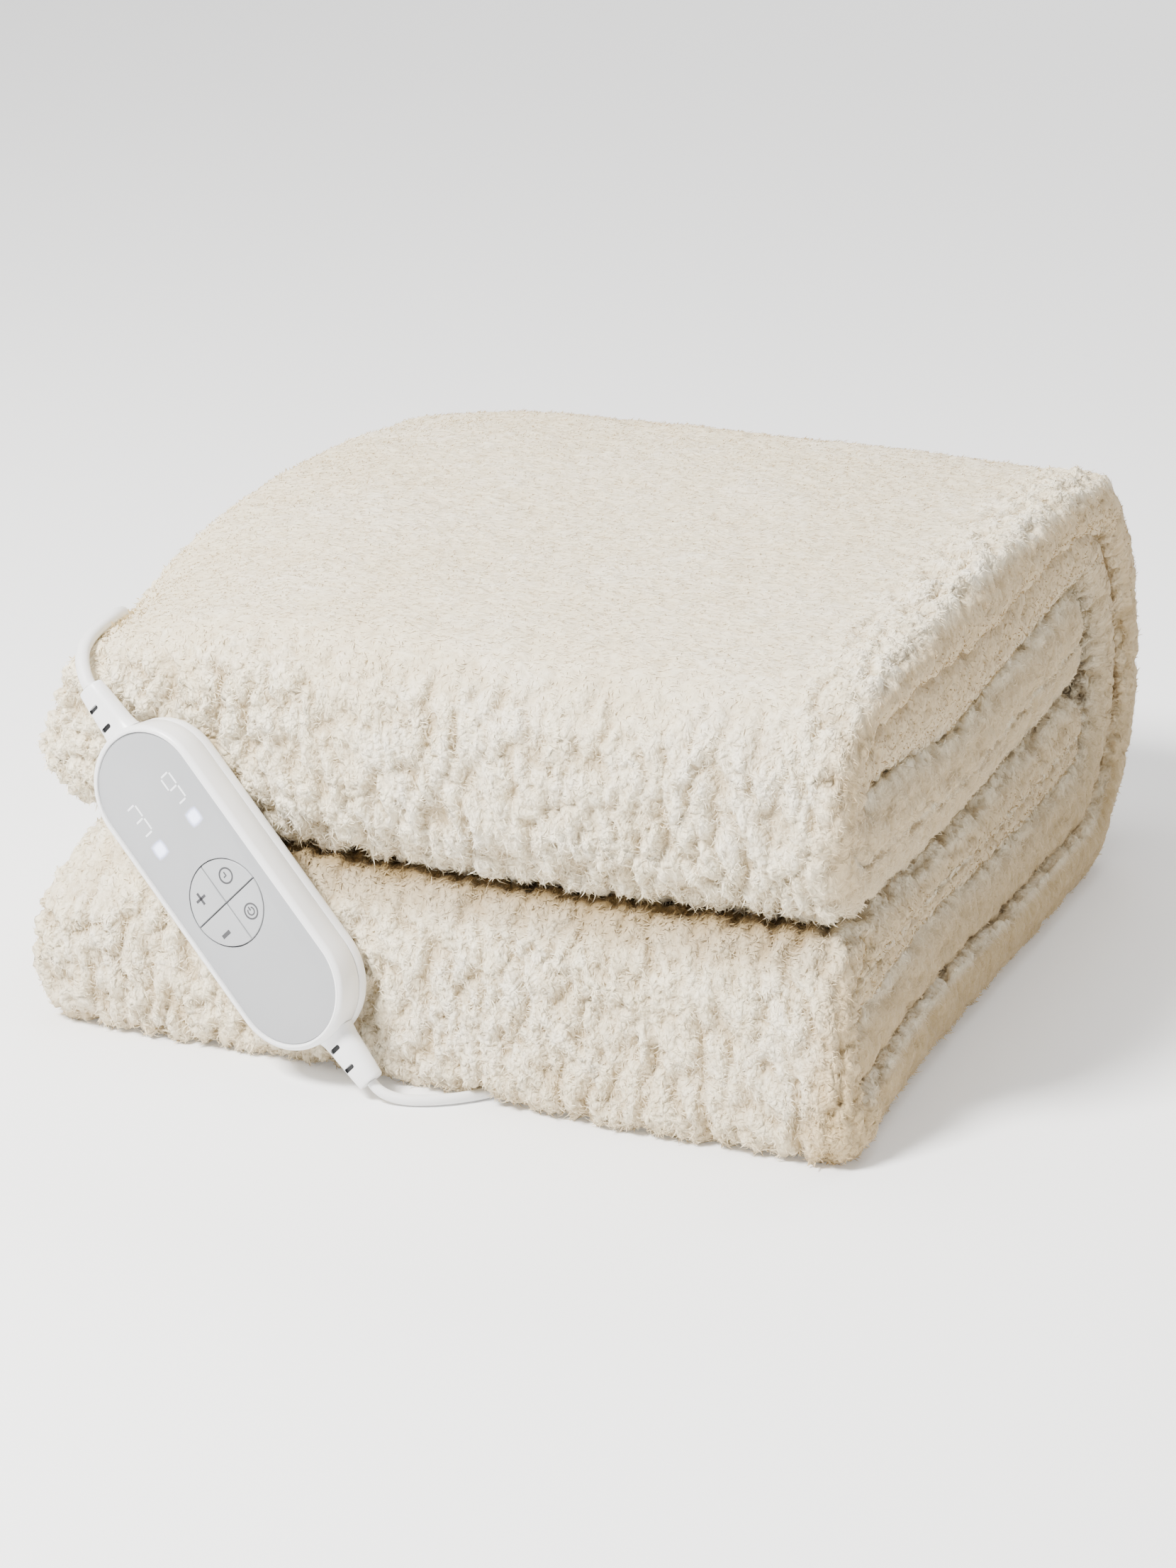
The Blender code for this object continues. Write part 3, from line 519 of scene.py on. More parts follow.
# Pushes: place, size of the region and movement, each as x, y, z.
clothPushes = {
    "leftFrontShoulder": (-205, -180, 205, 80, 150, 75, 2, 4, -22),
    "leftTopEdge": (-215, 60, 210, 60, 160, 60, 0, 0, -7),
    "leftBack": (-205, 170, 190, 70, 100, 80, 10, -4, -7),
    "rightBack": (205, 200, 170, 70, 60, 80, -2, -5, -3),
    "leftFrontCorner": (-215, -215, 135, 76, 60, 62, 0, 32, 0),
    "leadOnShoulder": (-193, -130, 177, 23, 56, 35, 4, 0, -15),
    "furOverLead": (-184, -146, 174, 17, 22, 24, 0, 0, 6),
    "upperLeftBelly": (-208, -145, 124, 50, 75, 36, -19, 2, -5),
    "lowerLeftCorner": (-210, -195, 86, 45, 90, 24, 13, 8, -4),
    "lowerLeftBelly": (-205, -150, 30, 50, 90, 30, 3, 0, 0),
    "gapSag": (40, -180, 98, 90, 100, 40, 0, 0, -3),
    "rightToe": (205, -210, 8, 70, 60, 45, 8, -11, 0),
    "frontToe": (95, -210, 4, 105, 45, 22, 0, -13, 0),
    "rightFrontHeel": (205, -205, 130, 70, 50, 45, 0, -5, 0),
    "frontBelly": (60, -205, 150, 80, 50, 45, 0, -4, 0),
    "lowerHollow": (20, -205, 70, 45, 50, 30, 0, 4, 0),
    "controllerAbove": (-112, -210, 140, 52, 45, 50, 0, 8, 0),
    "controllerBelow": (-92, -215, 58, 60, 45, 34, 0, 11, 0),
    "topDip": (-20, -20, 210, 90, 90, 60, 0, 0, -4),
    "backLeftCorner": (-205, 235, 120, 60, 60, 90, 0, -12, 0),
    "backBelly": (60, 240, 100, 110, 60, 60, 0, 3, 0),
    "lowerBackTuck": (60, 215, 20, 200, 50, 30, 0, -8, 0),
}


# Heights of a pass's inner face, its split and its outer face.
def passLines(name, y):
    height = {key: smoothBetween(stackPlaces, values, y) for key, values in stackHeights.items()}
    half = clothSettings["passGap"] / 2.0
    inner, outer = {
        "upperInner": (height["high"] - half, height["middle"] + half),
        "top": (height["high"] + half, height["top"]),
        "bottom": (height["low"] - half, np.zeros_like(height["low"])),
        "lowerInner": (height["low"] + half, height["middle"] - half),
    }[name]
    split = height["split"] if name == "top" else (inner + outer) / 2.0
    return inner, split, outer


# Sections of a flat pass: inner, split and outer point, hem and fullness, one row each.
def passRows(name, ys, fullness=1.0):
    rows = np.zeros((len(ys), 12))
    for column, heights in enumerate(passLines(name, ys)):
        rows[:, 2 * column] = ys
        rows[:, 2 * column + 1] = heights
    rows[:, 6:11] = hemShapes[name]
    rows[:, 11] = fullness
    return rows


def flatRows(name):
    start, stop = passSpans[name]
    return passRows(name, np.linspace(start, stop, int(abs(stop - start) / clothSettings["passStep"])))


# Sections of a turn, from the pass below it to the pass above it.
def turnRows(turn, below, above):
    count = clothSettings["turnSteps"]
    centreY, centreZ, *reach, squareTop, squareBottom = turnShapes[turn]
    side = 1.0 if turn == "back" else -1.0
    angle = np.linspace(-math.pi / 2.0, math.pi / 2.0, count)
    rises = np.sin(angle)
    reaches = np.clip(np.cos(angle), 0.0, None)
    upper = rises > 0
    square = np.where(upper, squareTop, squareBottom)
    powers = (np.full(count, 2.0), 2.0 + clothSettings["splitSquare"] * (square - 2.0), square)
    ends = [np.where(upper, a[0], b[0]) for a, b in zip(
        passLines(above, centreY), passLines(below, centreY))]
    rows = np.zeros((count, 12))
    for k in range(3):
        rows[:, 2 * k] = centreY + side * reach[k] * reaches ** (2.0 / powers[k])
        rows[:, 2 * k + 1] = centreZ + (ends[k] - centreZ) * np.abs(rises) ** (2.0 / powers[k])
    share = np.linspace(0.0, 1.0, count)[:, None]
    rows[:, 6:11] = np.array(hemShapes[below]) * (1 - share) + np.array(hemShapes[above]) * share
    rows[:, 11] = 1.0
    return rows


# Sections that round off a free end, from its tip inwards.
def endRows(name):
    step = np.sin(np.radians(np.linspace(clothSettings["endStart"], 0.0, clothSettings["endSteps"])))
    places = endPlaces[name] - clothSettings["endRounding"] * (1.0 - step)
    return passRows(name, places, np.sqrt(1.0 - step**2))


def resampled(rows, at, along):
    return np.stack([np.interp(at, along, rows[:, k]) for k in range(rows.shape[1])], axis=1)


# Every section of the cloth from one free end to the other, evenly spaced.
def clothRows():
    settings = clothSettings
    parts = [
        ("upperInner", endRows("upperInner")),
        ("upperInner", flatRows("upperInner")),
        ("upperFront", turnRows("upperFront", "upperInner", "top")),
        ("top", flatRows("top")),
        ("back", turnRows("back", "bottom", "top")[::-1]),
        ("bottom", flatRows("bottom")),
        ("lowerFront", turnRows("lowerFront", "bottom", "lowerInner")),
        ("lowerInner", flatRows("lowerInner")),
        ("lowerInner", endRows("lowerInner")[::-1]),
    ]
    rows = np.concatenate([part for _, part in parts])
    middle = rows[:, 2:4] * (1.0 - settings["neutral"]) + rows[:, 4:6] * settings["neutral"]
    along = lengthsAlong(middle)
    ends = {}
    count = 0
    for name, part in parts:
        count += len(part)
        ends[name] = along[count - 1]
    keep = np.concatenate([[True], np.diff(along) > 1e-6])
    fine = np.arange(0.0, along[-1], settings["fineSpacing"])
    rows = resampled(rows[keep], fine, along[keep])
    kernel = np.hanning(2 * settings["easeReach"] + 3)[1:-1]
    kernel /= kernel.sum()
    inside = slice(settings["easeMargin"], -settings["easeMargin"])
    for k in range(6):
        rows[inside, k] = np.convolve(rows[:, k], kernel, mode="same")[inside]
    even = np.linspace(0.0, fine[-1], int(fine[-1] / settings["spacing"]) + 1)
    return resampled(rows, even, fine), even, ends


# Shares across a leaf's thickness and places in x at its hem, for the outer leaf or the inner one.
def leafEdge(rows, side):
    split = rows[:, 2:4]
    line = rows[:, 4:6] if side > 0 else rows[:, 0:2]
    thick = np.linalg.norm(line - split, axis=1)
    full = rows[:, 11]
    lost = (1.0 - full) / 2.0
    surface = (1.0 + full) / 2.0
    slit = np.maximum(clothSettings["leafGap"] / 2.0 / thick, lost)
    reach = rows[:, 6] if side > 0 else rows[:, 7]
    return {
        "slit": slit,
        "surface": surface,
        "tip": slit + (surface - slit) * (0.5 + (rows[:, 10] - 0.5) * full),
        "tipX": clothSettings["rightEnd"] + reach - rows[:, 8] * lost,
        "outside": rows[:, 8],
        "beside": rows[:, 9],
    }


# From the leaf's slit, round its tip, to its outer surface: x and share across the cloth.
def hemSpan(rows, side):
    edge = leafEdge(rows, side)
    depth = clothSettings["slitDepth"]
    straight, tight, wide = clothSettings["hemSteps"]
    quarter = math.pi / 2.0
    inX = edge["tipX"] - edge["beside"]
    x = [inX - depth * (1.0 - t) for t in np.linspace(0.0, 1.0, straight, endpoint=False)]
    share = [edge["slit"]] * straight
    for angle in np.linspace(quarter, 0.0, tight, endpoint=False):
        x.append(inX + edge["beside"] * math.cos(angle))
        share.append(edge["tip"] + (edge["slit"] - edge["tip"]) * math.sin(angle))
    outX = edge["tipX"] - edge["outside"]
    for angle in np.linspace(quarter, 0.0, wide, endpoint=True):
        x.append(outX + edge["outside"] * math.sin(angle))
        share.append(edge["tip"] + (edge["surface"] - edge["tip"]) * math.cos(angle))
    return np.stack(x, axis=1), side * np.stack(share, axis=1)


# The same value in each of so many columns.
def across(values, count):
    return np.repeat(values[:, None], count, axis=1)


# x and share of the whole outline, with the column where each of its spans ends.
def ringSpans(rows):
    settings = clothSettings
    fold = settings["leftEnd"] + settings["foldReach"]
    outer, inner = leafEdge(rows, 1.0), leafEdge(rows, -1.0)
    outerWidth, innerWidth = (leaf["tipX"] - leaf["outside"] - fold for leaf in (outer, inner))
    steps = np.linspace(0.0, 1.0, round(float(outerWidth.mean()) / settings["spacing"]) + 1)[1:]
    angles = np.linspace(0.0, math.pi, settings["foldSteps"])[1:]
    foldX = fold - settings["foldReach"] * outer["surface"][:, None] * np.sin(angles)
    innerX, innerShare = hemSpan(rows, -1.0)
    spans = (
        ("outerHem", *hemSpan(rows, 1.0)),
        ("outer", fold + outerWidth[:, None] * (1.0 - steps), across(outer["surface"], len(steps))),
        ("fold", foldX, outer["surface"][:, None] * np.cos(angles)),
        ("inner", fold + innerWidth[:, None] * steps[:-1], across(-inner["surface"], len(steps) - 1)),
        ("innerHem", innerX[:, ::-1], innerShare[:, ::-1]),
    )
    columns = {}
    start = 0
    for name, x, _ in spans:
        columns[name] = (max(start - 1, 0), start + x.shape[1])
        start += x.shape[1]
    _, xs, shares = zip(*spans)
    return np.concatenate(xs, axis=1), np.concatenate(shares, axis=1), columns


# The cloth pushed in and out where it leans, sags and gives way.
def settled(points):
    pushed = points.copy()
    for push in clothPushes.values():
        place, size, movement = np.array(push, float).reshape(3, 3)
        weight = np.exp(-(((points - place) / size)**2).sum(axis=-1))
        lift = eased(np.clip(points[..., 2] / clothSettings["liftOver"], 0.0, 1.0))
        pushed[..., 0] += weight * movement[0]
        pushed[..., 1] += weight * movement[1]
        pushed[..., 2] += weight * lift * movement[2]
    return pushed


def clothPoints(rows, x, share):
    side = np.where((share > 0)[..., None], rows[:, None, 4:6], rows[:, None, 0:2])
    split = rows[:, None, 2:4]
    yz = split + (side - split) * np.abs(share)[..., None]
    return settled(np.concatenate([x[..., None], yz], axis=-1))


archSettings = {
    "lowCloth": 9.0,
    "goesOut": 260.0,
    "radius": 5.6,
    "stride": 3,
}


# The cloth on the floor arches over the cord that runs under it.
def liftedOverCord(points):
    settings = archSettings
    flat = points.reshape(-1, 3)
    low = np.nonzero(flat[:, 2] < settings["lowCloth"])[0]
    nearest = np.full(len(low), 1e9)
    for centre in mainsLine[mainsLine[:, 1] < settings["goesOut"]][::settings["stride"]]:
        away = np.hypot(flat[low, 0] - centre[0], flat[low, 1] - centre[1])
        nearest = np.minimum(nearest, away)
    rise = np.sqrt(np.clip(settings["radius"]**2 - nearest**2, 0.0, None))
    over = nearest < settings["radius"]
    flat[low[over], 2] = np.maximum(flat[low[over], 2], mainsSettings["floor"] + rise[over])
    return points


def gridNormals(points):
    along = np.gradient(points, axis=0)
    normal = np.cross(along, np.gradient(points, axis=1))
    length = np.linalg.norm(normal, axis=-1, keepdims=True)
    return normal / np.maximum(length, 1e-9), along


# Radius kept clear round each thin part, and how many of its points are passed over.
clearSettings = {
    "boots": (8.5, 1),
    "freeLead": (3.25, 2),
    "sunkLead": (-0.5, 3),
    "mains": (2.5, 3),
    "bootDepths": (0, 28, 3),
    "leadSinksFrom": -170.0,
    "mainsPoints": 160,
    "farthest": 16.0,
}


# Millimetres from each point to the controller and the cords that lie against the cloth.
def distanceToPieces(points):
    settings = controllerSettings
    flat = points.reshape(-1, 3)
    inverse = np.array(controllerPlace.inverted())
    local = (flat * mm) @ inverse[:3, :3].T + inverse[:3, 3]
    local /= mm
    side = np.hypot(np.maximum(np.abs(local[:, 0]) - settings["halfRun"], 0.0), local[:, 1])
    outside = side - settings["radius"]
    depth = np.maximum(settings["back"] - local[:, 2], local[:, 2] - settings["front"])
    nearest = np.hypot(np.maximum(outside, 0.0), np.maximum(depth, 0.0))
    nearest += np.minimum(np.maximum(outside, depth), 0.0)
    bootDepths = range(*clearSettings["bootDepths"])
    sunk = leadLine[:, 1] > clearSettings["leadSinksFrom"]
    lines = {
        "boots": np.array([bootTip(end, -depth) for end in (-1.0, 1.0) for depth in bootDepths]),
        "freeLead": leadLine[~sunk],
        "sunkLead": leadLine[sunk],
        "mains": mainsLine[:clearSettings["mainsPoints"]],
    }
    for name, line in lines.items():
        radius, stride = clearSettings[name]
        for centre in line[::stride]:
            box = np.abs(flat - centre).max(axis=1) < clearSettings["farthest"]
            away = np.linalg.norm(flat[box] - centre, axis=1) - radius
            nearest[box] = np.minimum(nearest[box], away)
    return nearest.reshape(points.shape[:2])


clothRow, clothAlong, clothEnds = clothRows()
ringX, ringShare, ringColumns = ringSpans(clothRow)
clothGrid = liftedOverCord(clothPoints(clothRow, ringX, ringShare))
clothNormal, clothDown = gridNormals(clothGrid)
toPieces = distanceToPieces(clothGrid)
gridX, gridY, gridZ = (clothGrid[..., k] for k in range(3))
gridAlong = across(clothAlong, clothGrid.shape[1])
print("cloth laid out", clothGrid.shape, {k: round(float(v)) for k, v in clothEnds.items()},
      "flat length", round(float(clothAlong[-1])))

# Character of the pile over the cloth: how curly, how deep in a crease (for painted crease shade), and
# which way it lies.
# Each zone runs from where it has no effect to where it has all of it.

pileZones = {
    "flatTop": (0.15, 0.99),
    "endFace": (0.35, 0.8),
    "rim": (150.0, 188.0),
    "clearOfPieces": (0.4, 5.5),
    "offFloor": (0.4, 3.2),
    "gapMouth": (-30.0, -15.0),
    "gapDepth": (-17.0, -4.0),
    "tucked": (12.0, -16.0),
    "gapFromLeft": (-176.0, -138.0),
    "gapFromEnd": (194.0, 172.0),
    "creaseFromEnd": (191.0, 176.0),
    "creaseFromLeft": (-198.0, -172.0),
    "slitShare": (0.55, 0.12),
    "slitFromEnd": (194.0, 181.0),
    "overGap": (122.0, 104.0),
    "underGap": (80.0, 92.0),
    "lowEdge": (14.0, 3.0),
    "endSide": (176.0, 196.0),
    "endSlope": (0.85, 0.4),
    "rear": (150.0, 215.0),
    "lowerHalf": (80.0, 0.0),
    "byFloor": (14.0, 0.0),
    "combedTop": (0.6, 0.95),
}
# How much each zone takes from the curl, leaves of the pile, deepens with painted crease shade,
# lengthens or warms with painted tan shade.
pileShares = {
    "flatCurl": 0.88,
    "rimCurl": 0.7,
    "endCurl": 0.68,
    "browCurl": 0.6,
    "floorPile": 0.12,
    "gapMouth": 0.55,
    "gapDepth": 0.45,
    "paintedCreaseShade": 0.38,
    "slitDepth": 0.32,
    "rimLocks": 0.45,
    "browLocks": 0.3,
    "lowLocks": 0.45,
    "leadLocks": 1.4,
    "endShade": 0.85,
    "rearShade": 0.7,
    "lowShade": 0.22,
    "floorShade": 0.3,
}
# Front of the stack, its front face, its right part, and the place and size of the locks on the lead.
pilePlaces = {
    "front": -150.0,
    "frontFace": -160.0,
    "rightPart": 100.0,
    "onLead": ((-184.0, -150.0, 172.0), (12.0, 28.0, 16.0)),
}


def zone(name, value):
    low, high = pileZones[name]
    return eased(np.clip((value - low) / (high - low), 0.0, 1.0))


# How curly the pile is, and its share of full height: less by the controller, cords and floor.
def pileCharacter():
    flatTop = zone("flatTop", clothNormal[..., 2])
    rim = zone("rim", gridX) * flatTop
    curly = 1.0 - pileShares["flatCurl"] * flatTop + pileShares["rimCurl"] * rim
    curly *= 1.0 - pileShares["endCurl"] * zone("endFace", clothNormal[..., 0])
    brow = (gridAlong > clothEnds["bottom"]) & (gridY < pilePlaces["front"])
    curly = np.where(brow, np.maximum(curly, pileShares["browCurl"]), curly)
    least = pileShares["floorPile"]
    return curly, zone("clearOfPieces", toPieces) * (least + (1.0 - least) * zone("offFloor", gridZ))


# Painted crease shade: how far a point lies behind the stack's front, end and top, 0 outside and 1 deep
# in a crease; the wool is painted brown by it.
def paintedCreaseShade():
    inward = gridAlong - clothEnds["lowerFront"]
    inGap = sum(pileShares[name] * zone(name, inward) for name in ("gapMouth", "gapDepth"))
    tucked = zone("tucked", gridAlong - clothEnds["upperInner"])
    inGap = np.maximum(inGap, tucked) * (ringShare > 0)
    inGap *= zone("gapFromLeft", gridX) * zone("gapFromEnd", gridX)
    inCrease = zone("creaseFromEnd", gridX) * (ringShare < 0) * zone("creaseFromLeft", gridX)
    slit = zone("slitShare", np.abs(ringShare)) * zone("slitFromEnd", gridX)
    slit *= pileShares["slitDepth"] * (gridX > pilePlaces["rightPart"])
    return np.clip(np.maximum.reduce([inGap, inCrease * pileShares["paintedCreaseShade"], slit]), 0.0, 1.0)


# How much longer the locks are: at the rims over and under the gap, at the lower edge and on the lead.
def lockReach():
    outer = ringShare > 0
    rim = (gridAlong < clothEnds["upperFront"]) & outer & (gridY < pilePlaces["frontFace"])
    brow = (gridAlong > clothEnds["bottom"]) & outer & (gridY < pilePlaces["front"])
    low = zone("lowEdge", gridZ) * (gridY < 0.0)
    place, size = pilePlaces["onLead"]
    overLead = np.exp(-(((clothGrid - place) / size)**2).sum(axis=-1))
    return np.maximum.reduce([
        rim * zone("overGap", gridZ) * pileShares["rimLocks"],
        brow * zone("underGap", gridZ) * pileShares["browLocks"],
        low * pileShares["lowLocks"], overLead * pileShares["leadLocks"]])


# Painted shade, tan: the right end, which faces away from the key light, and the back are warmer than
# the front and the top, and so are the lower half and the wool by the floor.
def shadeTone():
    end = zone("endSide", gridX) * zone("endSlope", clothNormal[..., 2])
    warm = np.maximum(end * pileShares["endShade"], zone("rear", gridY) * pileShares["rearShade"])
    warm += zone("lowerHalf", gridZ) * pileShares["lowShade"]
    warm += zone("byFloor", gridZ) * pileShares["floorShade"]
    return np.clip(warm, 0.0, 1.0)


# Direction in which the pile is combed: down the front, along the top.
def layDirection():
    along = clothDown / np.maximum(np.linalg.norm(clothDown, axis=-1, keepdims=True), 1e-9)
    flatTop = zone("combedTop", clothNormal[..., 2])[..., None]
    sideways = np.array((1.0, -0.25, 0.0))
    return along * (-1.0 + flatTop) + sideways * flatTop


# Place on the cloth laid flat, in metres, round the section and along it.
def flatPlace():
    step = np.linalg.norm(np.diff(clothGrid, axis=1), axis=-1).mean(axis=0)
    roundSection = np.concatenate([[0.0], np.cumsum(step)])
    flat = np.zeros_like(clothGrid)
    flat[..., 0] = roundSection[None, :] * mm
    flat[..., 1] = gridAlong * mm
    return flat


curliness, pileHeight = pileCharacter()
pileMaps = {
    "pileMap": flatPlace(),
    "foldNormal": clothNormal,
    "combed": layDirection(),
    "curly": curliness,
    "pile": pileHeight,
    "deep": paintedCreaseShade(),
    "shade": shadeTone(),
    "reach": lockReach(),
}
print("pile mapped")

# Fleece: its pattern of curls, locks, strands and combed streaks, then its colours and painted shade.

woolSettings = {
    "wander": (55.0, 0.009),
    "ruffle": (250.0, 0.0015),
    "combedWander": 1.6,
    "dome": -1.5,
    "curls": (250.0, 0.34),
    "locks": ((150.0, 68.0, 1.0), 0.66),
    "subCurls": (430.0, 0.55),
    "strands": ((900.0, 260.0, 1.0), 0.45),
    "strandNoise": (2.0, 0.3),
    "streaks": (150.0, 360.0, 1.0),
    "streakNoise": (3.0, 0.3),
    "streakSpan": (0.15, 0.85),
    "patches": (27.0, 1.0),
    "patchSpan": (0.34, 0.60),
    "patchShare": (0.22, 0.78),
    "brushedTone": (0.80, 0.05),
    "strandTone": 0.25,
    "curlTone": 0.75,
    "toneSpan": (0.28, 0.82),
    "mottles": ((75.0, 2.0, 0.45), (15.0, 4.0, 0.55)),
    "creamStops": (0.36, 0.50, 0.64),
    "cream": ((0.85, 0.755, 0.55), (0.90, 0.82, 0.635), (0.93, 0.87, 0.725)),
    # valley: painted shade between the curls and locks.
    "valley": (0.50, 0.40, 0.25),
    # tan: painted shade for the end, the back and the low wool, darker in its valleys.
    "tan": ((0.40, 0.285, 0.14), (0.66, 0.515, 0.305)),
    # brown: painted shade deep in the gap, the creases and the slits.
    "brown": (0.26, 0.18, 0.08),
    "fibres": (1300.0, 2.0, 0.3),
    "fibreTone": 0.25,
    "strandRelief": 0.6,
    "streakRelief": 0.4,
    "fibreRelief": 0.07,
    "relief": 0.0026,
}
fleeceFinish = {
    "Roughness": 0.94,
    "Specular IOR Level": 0.15,
    "Sheen Weight": 0.12,
    "Sheen Roughness": 0.55,
    "Sheen Tint": (1.0, 0.96, 0.90, 1.0),
}


# A wander of up to half the reach each way.
def wandered(tree, place, scale, reach):
    away = noise(tree, place, scale, 1.0, output="Color")
    away = vectors(tree, "SUBTRACT", away, (0.5, 0.5, 0.5))
    return vectors(tree, "MULTIPLY", away, (reach, reach, reach))


# Rounded tops with narrow valleys between them.
def domes(tree, place, scale, share, dimensions="3D"):
    cells = wire(tree, "ShaderNodeTexVoronoi", {
        "Vector": place, "Scale": scale}, feature="F1", voronoi_dimensions=dimensions)
    away = cells.outputs["Distance"]
    away = maths(tree, "MULTIPLY", away, maths(tree, "MULTIPLY", away, woolSettings["dome"]))
    return maths(tree, "MULTIPLY", maths(tree, "ADD", away, 1.0), share)


# Heights of the wool from 0 to 1: its curls and locks, its fine strands, and its combed streaks.
def woolPattern(tree, place, lay, curly):
    settings = woolSettings
    wander = wandered(tree, place, *settings["wander"])
    ruffled = vectors(tree, "ADD", place, wander)
    ruffled = vectors(tree, "ADD", ruffled, wandered(tree, place, *settings["ruffle"]))
    combed = vectors(tree, "MULTIPLY", wander, (settings["combedWander"],) * 3)
    combed = vectors(tree, "ADD", lay, combed)
    size, share = settings["locks"]
    locks = domes(tree, vectors(tree, "MULTIPLY", combed, size), 1.0, share, "2D")
    curls = maths(tree, "ADD", locks, domes(tree, ruffled, *settings["curls"]))
    size, share = settings["strands"]
    strands = noise(tree, vectors(tree, "MULTIPLY", combed, size), 1.0, *settings["strandNoise"])
    strands = maths(tree, "MULTIPLY_ADD", strands, share, domes(tree, ruffled, *settings["subCurls"]))
    combed = vectors(tree, "MULTIPLY", combed, settings["streaks"])
    streak = spread(tree, noise(tree, combed, 1.0, *settings["streakNoise"]), *settings["streakSpan"])
    patchy = noise(tree, place, *settings["patches"])
    patchy = spread(tree, patchy, *settings["patchSpan"], way="SMOOTHSTEP")
    patchy = maths(tree, "MULTIPLY_ADD", patchy, *settings["patchShare"])
    return curls, strands, streak, maths(tree, "MULTIPLY", curly, patchy, clamp=True)


# Painted shade low between the curls and locks, and the tone of the combed streaks, from the heights of
# its pattern.
def woolTone(tree, curls, strands, streak, curlyHere):
    settings = woolSettings
    brushed = maths(tree, "MULTIPLY_ADD", streak, *settings["brushedTone"])
    height = maths(tree, "MULTIPLY", curls, settings["curlTone"])
    height = maths(tree, "MULTIPLY_ADD", strands, settings["strandTone"], height)
    return blended(tree, curlyHere, brushed, spread(tree, height, *settings["toneSpan"]))


def attributeValue(tree, name, output="Fac"):
    return wire(tree, "ShaderNodeAttribute", attribute_name=name).outputs[output]


# Cream wool with painted shade: darker in the valleys between curls, tan on the end and the back, brown
# deep in the gap.
def woolColour(tree, place, tone):
    settings = woolSettings
    (fine, fineDetail, fineShare), (broad, broadDetail, broadShare) = settings["mottles"]
    mottled = maths(tree, "MULTIPLY", noise(tree, place, fine, fineDetail), fineShare)
    mottled = maths(tree, "MULTIPLY_ADD", noise(tree, place, broad, broadDetail), broadShare, mottled)
    cream = ramp(tree, mottled, settings["creamStops"], settings["cream"])
    wool = tinted(tree, tone, settings["valley"], cream)
    wool = tinted(tree, attributeValue(tree, "shade"), wool, tinted(tree, tone, *settings["tan"]))
    return tinted(tree, attributeValue(tree, "deep"), wool, settings["brown"])


def fleeceMaterial(settings):
    material, tree, shader = blank("fleece")
    place = objectPlace(tree)
    lay = attributeValue(tree, "pileMap", "Vector")
    pattern = woolPattern(tree, place, lay, attributeValue(tree, "curly"))
    curls, strands, streak, curlyHere = pattern
    fibres = noise(tree, place, *settings["fibres"])
    tone = maths(
        tree, "MULTIPLY_ADD", maths(tree, "SUBTRACT", fibres, 0.5), settings["fibreTone"],
        woolTone(tree, *pattern), clamp=True)
    relief = blended(
        tree, curlyHere, maths(tree, "MULTIPLY", streak, settings["streakRelief"]),
        maths(tree, "MULTIPLY_ADD", strands, settings["strandRelief"], curls))
    relief = maths(tree, "MULTIPLY_ADD", fibres, settings["fibreRelief"], relief)
    fill(tree, shader, {
        **fleeceFinish, "Base Color": woolColour(tree, place, tone),
        "Normal": bumped(tree, relief, 1.0, settings["relief"])})
    return material


# Tufts: small bent locks of fibre scattered over the pile.

tuftSettings = {
    "length": 3.1,
    "width": 0.40,
    "lift": 0.95,
    "bend": 1.25,
    "curls": (-1.6, -0.6, 0.5, 1.5),
    "shortened": 0.12,
    "squareTo": 0.7,
    "rooted": -0.25,
    "arch": 0.62,
    "hollow": 0.18,
    "size": (0.6, 1.2),
    "tilt": (-0.42, 0.05),
    "roll": (-0.5, 0.5),
    "flatTilt": 0.3,
    "shownFrom": (0.25, 0.8),
    "tone": (0.66, 0.20),
    "paintedRootShade": 0.08,
    "ownTone": 0.18,
    "grain": (2200.0, 2.0),
    "relief": (0.3, 0.0003),
}


# Single locks: the tone and painted valley shade of the wool they stand in, with painted shade darkening
# them towards the root, each a little different.
def tuftMaterial(settings):
    material, tree, shader = blank("fleeceTufts")
    place = objectPlace(tree)
    tone = maths(tree, "MULTIPLY_ADD", attributeValue(tree, "woolTone"), *settings["tone"])
    tone = maths(tree, "MULTIPLY_ADD", attributeValue(tree, "tip"), settings["paintedRootShade"], tone)
    tone = maths(
        tree, "MULTIPLY_ADD", attributeValue(tree, "ownTone"), settings["ownTone"], tone, clamp=True)
    fill(tree, shader, {
        **fleeceFinish, "Base Color": woolColour(tree, place, tone),
        "Normal": bumped(tree, noise(tree, place, *settings["grain"]), *settings["relief"])})
    return material


fleece = fleeceMaterial(woolSettings)
fleeceTufts = tuftMaterial(tuftSettings)

# Base cloth: one closed sheet with all its folds, under the pile.

baseSettings = {
    "strides": {"outerHem": 3, "outer": 8, "fold": 5, "inner": 8, "innerHem": 3},
    "rowStride": 7,
    "slitSteps": 14,
    "merge": 2e-5,
    "lowest": 0.0006,
    # Painted shade on the base sheet, seen only in shadow under the pile: crease shade (deep) and tan
    # shade (shade) all over.
    "pile": {"curly": 0.5, "deep": 0.8, "shade": 1.0},
}


